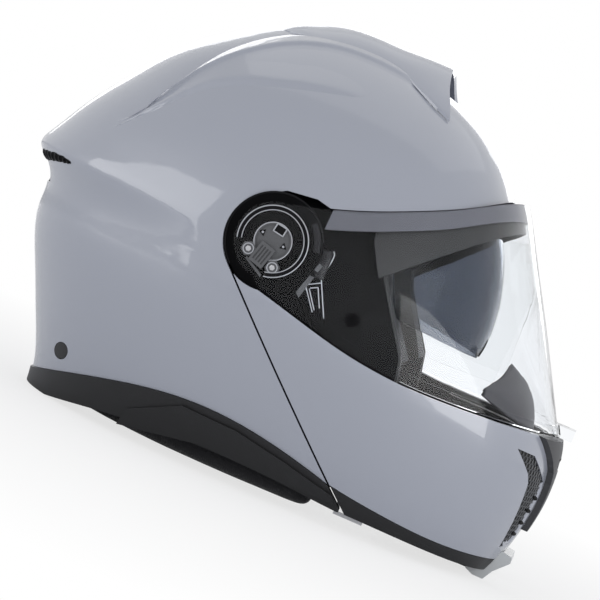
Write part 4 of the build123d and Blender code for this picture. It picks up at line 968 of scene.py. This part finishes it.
@dataclass
class CrownBands:
    """The two stepped character lines that sweep over each side of the crown.

    Each step of the profile is 0 or 1 for the upper or lower line, a shift across and a height. The tapers
    are shares of the length: the rear one's length, and the end and length of each line's front one.
    """

    upper: Path = (
        (-150, 60, 150), (-124, 82, 165.4), (-107.7, 77, 189.3), (-88, 66, 213), (-62.8, 53, 233), (-40, 46, 240.5),
        (-19.3, 43, 243), (9.5, 42, 240), (26, 46, 233))
    lower: Path = (
        (-150, 66, 145), (-130, 84, 160), (-112.4, 85, 174.8), (-91.1, 84, 195.7), (-68, 84, 207), (-44.8, 84, 214),
        (-12.3, 78, 220.4), (10.6, 71, 221.5), (40, 66, 214))
    profile: Path = (
        (0, -26.0, -0.4), (0, -17.0, 0.4), (0, -9.0, 1.0), (0, -3.5, 1.6), (0, -1.0, 1.85), (0, 0.8, 1.1),
        (0, 2.6, 0.3), (0, 5.0, 0.1), (1, -16.0, 0.3), (1, -9.0, 0.8), (1, -4.5, 1.2), (1, -2.0, 1.35),
        (1, 0.3, 1.0), (1, 2.4, 0.4), (1, 4.5, -0.05), (1, 7.0, -0.35), (1, 10.0, -0.5))
    rear_taper: float = 0.3
    front_tapers: tuple[Flat, Flat] = ((1.0, 0.16), (0.88, 0.25))
    full_gap: float = 30.0
    count: int = 121
    sunk: float = 0.5
    centre: Place = (-10.0, 0.0, 120.0)
    outset: float = 1.08

    def build(self) -> None:
        """Lays a grid between and beside the two lines and gives it a stepped height.

        Heights ramp up to each line and fall behind it, times a taper towards both ends.
        """
        top, foot = smooth_line(self.upper, self.count), smooth_line(self.lower, self.count)
        across = foot - top
        gap = np.linalg.norm(across, axis=1, keepdims=True)
        margin = across / np.maximum(gap, 1.0) * np.clip(gap / self.full_gap, 0.2, 1.0)
        lines = np.array([(foot if which else top) + margin * shift for which, shift, _ in self.profile])
        which, _, heights = np.array(self.profile).T
        end, length = np.array(self.front_tapers)[which.astype(int)].T[:, :, None]
        along = np.linspace(0, 1, self.count)
        rear = np.clip(along / self.rear_taper, 0, 1)
        front = np.clip((end - along) / length, 0, 1)
        depth = (heights[:, None] + self.sunk) * eased(np.minimum(rear, front)) - self.sunk
        lines = self.centre + (lines - self.centre) * self.outset
        for obj in pair("crown_band", lines, grid_faces(*lines.shape[:2]), PEARL):
            drape(obj, depth)
            modify(obj, "SUBSURF", levels=2, render_levels=2)
            ride(obj, "shell")


@dataclass
class TopHood:
    """The top vent's hood: the solid's own form with a higher, longer front lip and a flat tail."""

    lip_start: float = -8.0
    lip_length: float = 38.0
    lip_rise: float = 3.6
    lip_half_width: float = 42.0
    nose_start: float = 16.0
    nose_length: float = 10.0
    nose_reach: float = 2.6
    tail_start: float = -55.0
    tail_length: float = 18.0
    tail_drop: float = 6.0

    def build(self) -> None:
        """Copies the hood's mesh and shifts its points.

        The rise grows as a smooth step along X, and both it and the reach fade as (1 - (y/w)^2)^2 aside.
        """
        obj = link("vent_hood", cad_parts["top_vent_hood"].data.copy())
        dress(obj, PEARL)
        points = read(obj.data) / MM
        x = points[:, 0]
        aside = np.clip(1 - (points[:, 1] / self.lip_half_width) ** 2, 0, 1) ** 2
        rise = np.clip((x - self.lip_start) / self.lip_length, 0, 1)
        nose = np.clip((x - self.nose_start) / self.nose_length, 0, 1)
        tail = np.clip((self.tail_start - x) / self.tail_length, 0, 1)
        points[:, 2] += self.lip_rise * eased(rise) * aside - self.tail_drop * tail * tail
        points[:, 0] += self.nose_reach * nose * aside
        write(obj.data, points * MM)
        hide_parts("top_vent_hood")
        ride(obj, "shell")


@dataclass
class BreathSkirt:
    """The soft rubber skirt that stands on the chin bar before the nose."""

    axis_x: float = 70.0
    reach: float = 81.0
    half_turn: float = math.radians(38.0)
    foot: float = 86.6
    foot_rise: float = 9.4
    foot_back: float = 16.0
    peak: Flat = (124.7, 118.6)
    corner: Place = (117.5, 50.0, 99.5)
    bulge: Flat = (3.4, 4.2)
    wall: float = 2.0

    def build(self) -> None:
        """Spans a surface from a level arc to a peaked upper edge: P = (1 - s) foot + s top + sin(pi s) bulge."""
        a = np.linspace(-1, 1, 65)[None, :]
        s = np.linspace(0, 1, 17)[:, None]
        far = np.abs(a)
        foot = (self.axis_x + self.reach * np.cos(self.half_turn * a) - self.foot_back * far ** 3,
                self.reach * np.sin(self.half_turn * a), self.foot + self.foot_rise * far ** 3)
        blunt = ((far ** 2 + 0.006) / 1.006) ** 0.42
        top = (self.peak[0] + (self.corner[0] - self.peak[0]) * far ** 2, self.corner[1] * a,
               self.peak[1] + (self.corner[2] - self.peak[1]) * blunt)
        swell = np.sin(math.pi * s) * (1 - far ** 2 * 0.8)
        push = (self.bulge[0] * swell, 0.0, self.bulge[1] * swell)
        points = np.stack([(1 - s) * f + s * p + b for f, p, b in zip(foot, top, push)], axis=-1)
        obj = put_object("breath_skirt", points, grid_faces(*points.shape[:2]), SKIRT)
        modify(obj, "SOLIDIFY", thickness=self.wall * MM, offset=0.0)
        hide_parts("breath_deflector")
        ride(obj, "chin_bar")


@dataclass
class RearSlots:
    """The rear vent's dark slot, carried round each side of the shell with short ribs."""

    line: Path = (
        (-175, 30, 115), (-171, 42, 116), (-165, 56, 118), (-157, 68, 120), (-148, 77, 121.5))
    half_height: float = 4.6
    base_height: float = 0.25
    rib_height: float = 0.7
    ribs: float = 9.0
    fade: float = 1.3
    count: int = 109

    def build(self) -> None:
        """Lays a band that narrows to its end and lifts it as a row of ribs: h = b + r |sin(pi n t)|^3."""
        t = np.linspace(0, 1, self.count)
        half = self.half_height * np.sqrt(np.clip(1 - t ** 3, 0.02, 1))
        share = np.linspace(-1, 1, 7)[:, None]
        points = np.repeat(smooth_line(self.line, self.count)[None], len(share), axis=0)
        points[:, :, 2] += share * half
        height = self.base_height + self.rib_height * np.abs(np.sin(math.pi * self.ribs * t)) ** 3
        for obj in pair("rear_slot", points, flipped(grid_faces(*points.shape[:2])), BLACK_SMOOTH):
            drape(obj, height * np.clip(self.fade - np.abs(share), 0, 1))
            ride(obj, "shell")


@dataclass
class ChinIntakes:
    """The side intakes: a honeycomb net, a pale bevel and four short fins in each.

    The outline's corners are shares of the form's rear reach and height.
    """

    outline: Line = (
        (0.318, 0.307), (0.425, 0.303), (0.577, 0.248), (0.593, 0.231), (0.580, 0.099), (0.502, 0.084),
        (0.448, 0.242), (0.422, 0.262))
    pitch: float = 3.5
    sink: float = 1.2
    wire: float = 0.95
    slope_width: float = 5.2
    slope_depth: float = 1.9
    net_start: Flat = (30.0, 10.0)
    slope_ends: tuple[Flat, Flat] = ((-2, 1), (4, 0.6))
    fin_shares: tuple[float, ...] = (0.16, 0.40, 0.63, 0.85)
    fin_start: Flat = (0.4, 0.0)
    fin_run: Flat = (-8.6, 0.9)
    fin_sink: Flat = (0.3, 1.1)
    fin_height: float = 1.25
    fin_flatness: float = 0.75

    def place(self, flat: Array, depth: Array | float) -> Array:
        """Carries plane points along the corner's direction to the form, drawn in by a depth.

        The direction's length t is found by halving: the squared ellipse's sum is below one inside the form.

        Args:
            flat: places across the corner's direction and up.
            depth: how far each is drawn in.

        Returns:
            The points on the form.
        """
        half = math.sqrt(0.5)
        u, z = flat[:, 0], flat[:, 1]
        reach, wide = FORM.read(z)
        low, high = np.zeros(len(u)), np.full(len(u), 220.0)
        for _ in range(40):
            t = (low + high) / 2
            x, y = u * half + t * half, u * half - t * half
            total = (np.abs(x - FORM.middle) / (reach - FORM.middle - depth)) ** FORM.power + (
                np.abs(y) / (wide - depth)) ** FORM.power
            low, high = np.where(total < 1, t, low), np.where(total < 1, high, t)
        return np.column_stack([u * half + low * half, u * half - low * half, z])

    def inside(self, flat: Array, corners: Array) -> Array:
        """Tells which points lie in the outline, by counting the edges that a level line crosses.

        Args:
            flat: the points.
            corners: the outline.

        Returns:
            True for each point inside.
        """
        a, b = corners, np.roll(corners, -1, axis=0)
        x, z = flat[:, 0][:, None], flat[:, 1][:, None]
        cross = (a[:, 1] > z) != (b[:, 1] > z)
        at = a[:, 0] + (z - a[:, 1]) * (b[:, 0] - a[:, 0]) / np.where(b[:, 1] == a[:, 1], 1e-9, b[:, 1] - a[:, 1])
        return (np.sum(cross & (x < at), axis=1) % 2).astype(bool)

    def net(self, corners: Array) -> None:
        """Makes the honeycomb as a wireframe of hexagons.

        Args:
            corners: the intake's outline.
        """
        r = self.pitch / math.sqrt(3)
        i, j = np.meshgrid(np.arange(-10, 60), np.arange(-6, 60), indexing="ij")
        steps = np.column_stack([((i + j % 2 / 2) * self.pitch).ravel(), (j * r * 1.5).ravel()])
        centres = steps + self.net_start
        kept = centres[self.inside(centres, corners)]
        rim = kept[:, None, :] + polygon(np.zeros(2), r, 6, 30.0)[None]
        flat, which = np.unique(rim.reshape(-1, 2).round(3), axis=0, return_inverse=True)
        faces = flipped(which.reshape(-1, 6).tolist())
        for obj in pair("honeycomb", self.place(flat, self.sink), faces, NET_GREY, False):
            modify(obj, "WIREFRAME", thickness=self.wire * MM, use_even_offset=False)
            ride(obj, "chin_bar")

    def bevel(self, corners: Array) -> None:
        """The pale slope from the shell's face down to the net, along the front edge.

        Args:
            corners: the intake's outline.
        """
        top, foot = corners[2] + self.slope_ends[0], corners[5] + self.slope_ends[1]
        edge = smooth_line([top, corners[3], (corners[3] + corners[4]) / 2, corners[4], foot], 48)
        ahead = headings(edge)
        inward = np.column_stack([ahead[:, 1], -ahead[:, 0]])
        share = np.linspace(0, 1, 9)[:, None]
        width = self.slope_width * np.sin(np.linspace(0.25, math.pi - 0.35, len(edge))) ** 0.5
        flat = edge[None] + inward[None] * (share * width)[..., None]
        depth = np.repeat(self.slope_depth * share ** 1.4 - 0.05, len(edge))
        points = self.place(flat.reshape(-1, 2), depth)
        for obj in pair("intake_bevel", points, grid_faces(len(share), len(edge)), PEARL):
            ride(obj, "chin_bar")

    def fins(self, corners: Array) -> None:
        """Four short rounded fins that cross the slope.

        Args:
            corners: the intake's outline.
        """
        rows, columns = 14, 12
        t = np.linspace(0, 2 * math.pi, columns, endpoint=False)
        size = self.fin_height * np.sin(np.linspace(0.35, math.pi - 0.2, rows))[:, None] ** 0.6
        for number, share in enumerate(self.fin_shares):
            root = corners[3] * (1 - share) + corners[4] * share
            line = np.linspace(0, 1, rows)[:, None] * self.fin_run + root + self.fin_start
            flat = line[:, None, :] + np.stack([np.zeros((rows, columns)), size * np.cos(t)], axis=-1)
            depth = np.linspace(*self.fin_sink, rows)[:, None] - size * self.fin_flatness * np.sin(t)
            points = self.place(flat.reshape(-1, 2), depth.ravel())
            faces = flipped(grid_faces(rows, columns, close_columns=True))
            for obj in pair(f"intake_fin_{number}", points, faces, BLACK_SMOOTH):
                ride(obj, "chin_bar")

    def build(self) -> None:
        """Makes both intakes."""
        corners = np.array([(u * FORM.rear, z * FORM.height) for u, z in self.outline])
        self.net(corners)
        self.bevel(corners)
        self.fins(corners)


class CadDress:
    """Gives every carried-over CAD node its finish."""

    def build(self) -> None:
        """Assigns a material to each node; a node with no entry is black moulded plastic."""
        finishes = {node: finish for finish, nodes in FINISHED.items() for node in nodes}
        for name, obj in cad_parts.items():
            dress(obj, finishes.get(name.removeprefix("left_").removeprefix("right_"), BLACK))
            LOG.info("dressed %s", name)


@dataclass
class Studio:
    """Camera, lights, floor and background. The helmet leans by the tilt in the picture."""

    tilt: float = math.radians(23.2)
    azimuth: float = math.radians(6.0)
    aim: Flat = (0.75, 103.5)
    mm_per_pixel: float = 0.575
    shift_pixels: float = 3.0
    distance: float = 1.8
    image_pixels: float = 600.0
    sensor: float = 36.0
    lamps: tuple[tuple[str, Place, Flat, float], ...] = (
        ("overhead", (0.0, 0.7, 1.8), (2.2, 1.6), 4.0), ("left_window", (-1.75, -1.0, 0.5), (2.0, 0.9), 13.0),
        ("right_window", (1.65, -1.3, 0.44), (1.7, 0.84), 17.0), ("back_rim", (-0.2, 1.7, 0.7), (1.6, 0.8), 6.0))
    lamp_aim: Place = (0.0, 0.0, 0.12)
    fill_colour: Colour = (0.93, 0.95, 1.0)
    fill_strength: float = 0.44
    gloss_share: float = 0.6
    floor_half: float = 3.0
    floor_level: float = -0.0003
    floor_grey: float = 0.9
    glow: Flat = (0.72, 1.0)
    glow_reach: Flat = (0.15, 0.6)

    def pitch(self, x: float, y: float, z: float) -> Vector:
        """Turns a direction by the photograph's tilt about Y."""
        c, s = math.cos(self.tilt), math.sin(self.tilt)
        return Vector((x * c - z * s, y, x * s + z * c))

    def camera(self) -> None:
        """Makes the camera: its frame is turned with the tilt, so the helmet leans in the picture."""
        back = self.pitch(math.sin(self.azimuth), -math.cos(self.azimuth), 0.0)
        right = self.pitch(math.cos(self.azimuth), math.sin(self.azimuth), 0.0)
        up = self.pitch(0.0, 0.0, 1.0)
        shift = self.shift_pixels * self.mm_per_pixel
        aim = Vector((self.aim[0] - shift * math.cos(self.tilt), 0.0, self.aim[1] - shift * math.sin(self.tilt))) * MM
        data = bpy.data.cameras.new("camera")
        data.sensor_width = self.sensor
        data.lens = self.sensor * self.distance / (self.image_pixels * self.mm_per_pixel * MM)
        data.clip_start, data.clip_end = 0.05, 50.0
        obj = link("camera", data)
        turn = Matrix((right, up, back)).transposed().to_4x4()
        obj.matrix_world = Matrix.Translation(aim + back * self.distance) @ turn
        bpy.context.scene.camera = obj

    def lamp(self, name: str, place: Place, size: Flat, power: float) -> None:
        """Adds a rectangular soft lamp that faces the helmet.

        Args:
            name: the lamp's name.
            place: its centre in metres.
            size: its width and height in metres.
            power: its power in watts.
        """
        data = bpy.data.lights.new(name, "AREA")
        data.shape, data.energy = "RECTANGLE", power
        data.size, data.size_y = size
        obj = link(name, data)
        obj.location = place
        obj.rotation_euler = (Vector(self.lamp_aim) - Vector(place)).to_track_quat("-Z", "Y").to_euler()

    def world(self) -> None:
        """Makes the background: white where the camera, gloss or glass sees it, and a grey fill light."""
        world = bpy.data.worlds.new("studio")
        bpy.context.scene.world = world
        t = Tree.emptied(world)
        path = t.add("ShaderNodeLightPath").outputs
        gloss = t.math("MULTIPLY", path["Is Glossy Ray"], self.gloss_share)
        seen = t.math("MAXIMUM", path["Is Camera Ray"], t.math("MAXIMUM", path["Is Transmission Ray"], gloss))
        fill = t.add("ShaderNodeBackground", Color=(*self.fill_colour, 1.0), Strength=self.fill_strength)
        white = t.add("ShaderNodeBackground", Color=WHITE, Strength=1.0)
        t.add("ShaderNodeOutputWorld", Surface=t.blend(seen, fill, white))

    def floor(self) -> None:
        """Makes the pale floor: white to the camera and through glass, where no shadow falls on it."""
        mesh = bpy.data.meshes.new("floor")
        corners = [(x * self.floor_half, y * self.floor_half, self.floor_level)
                   for x, y in ((-1, -1), (1, -1), (1, 1), (-1, 1))]
        mesh.from_pydata(corners, [], [(0, 1, 2, 3)])
        obj = link("floor", mesh)
        made = bpy.data.materials.new("floor")
        t = Tree.emptied(made)
        matt = t.add("ShaderNodeBsdfDiffuse", Color=(*(self.floor_grey,) * 3, 1.0))
        glow = t.add("ShaderNodeEmission", Color=WHITE, Strength=1.0)
        path = t.add("ShaderNodeLightPath").outputs
        far = t.add("ShaderNodeVectorMath", operation="LENGTH")
        t.feed(far.inputs[0], t.place())
        edge = t.result("ShaderNodeMapRange", far.outputs["Value"], *self.glow_reach, *self.glow)
        view = t.math("MAXIMUM", path["Is Camera Ray"], path["Is Transmission Ray"])
        t.add("ShaderNodeOutputMaterial", Surface=t.blend(t.math("MULTIPLY", edge, view), matt, glow))
        mesh.materials.append(made)

    def build(self) -> None:
        """Sets up the whole studio."""
        self.camera()
        for row in self.lamps:
            self.lamp(*row)
        self.world()
        self.floor()
        bpy.context.scene.view_settings.view_transform = "Standard"


def main() -> None:
    """Builds the scene in order and reports each piece."""
    logging.basicConfig(level=logging.INFO)
    for part in (Studio, CadDress, Padding, StrapWebbing, ChinCloth, PivotDetail, CrownBands, TopHood, RearSlots,
                 BreathSkirt, ChinIntakes):
        part().build()


if __name__ == "__main__":
    main()
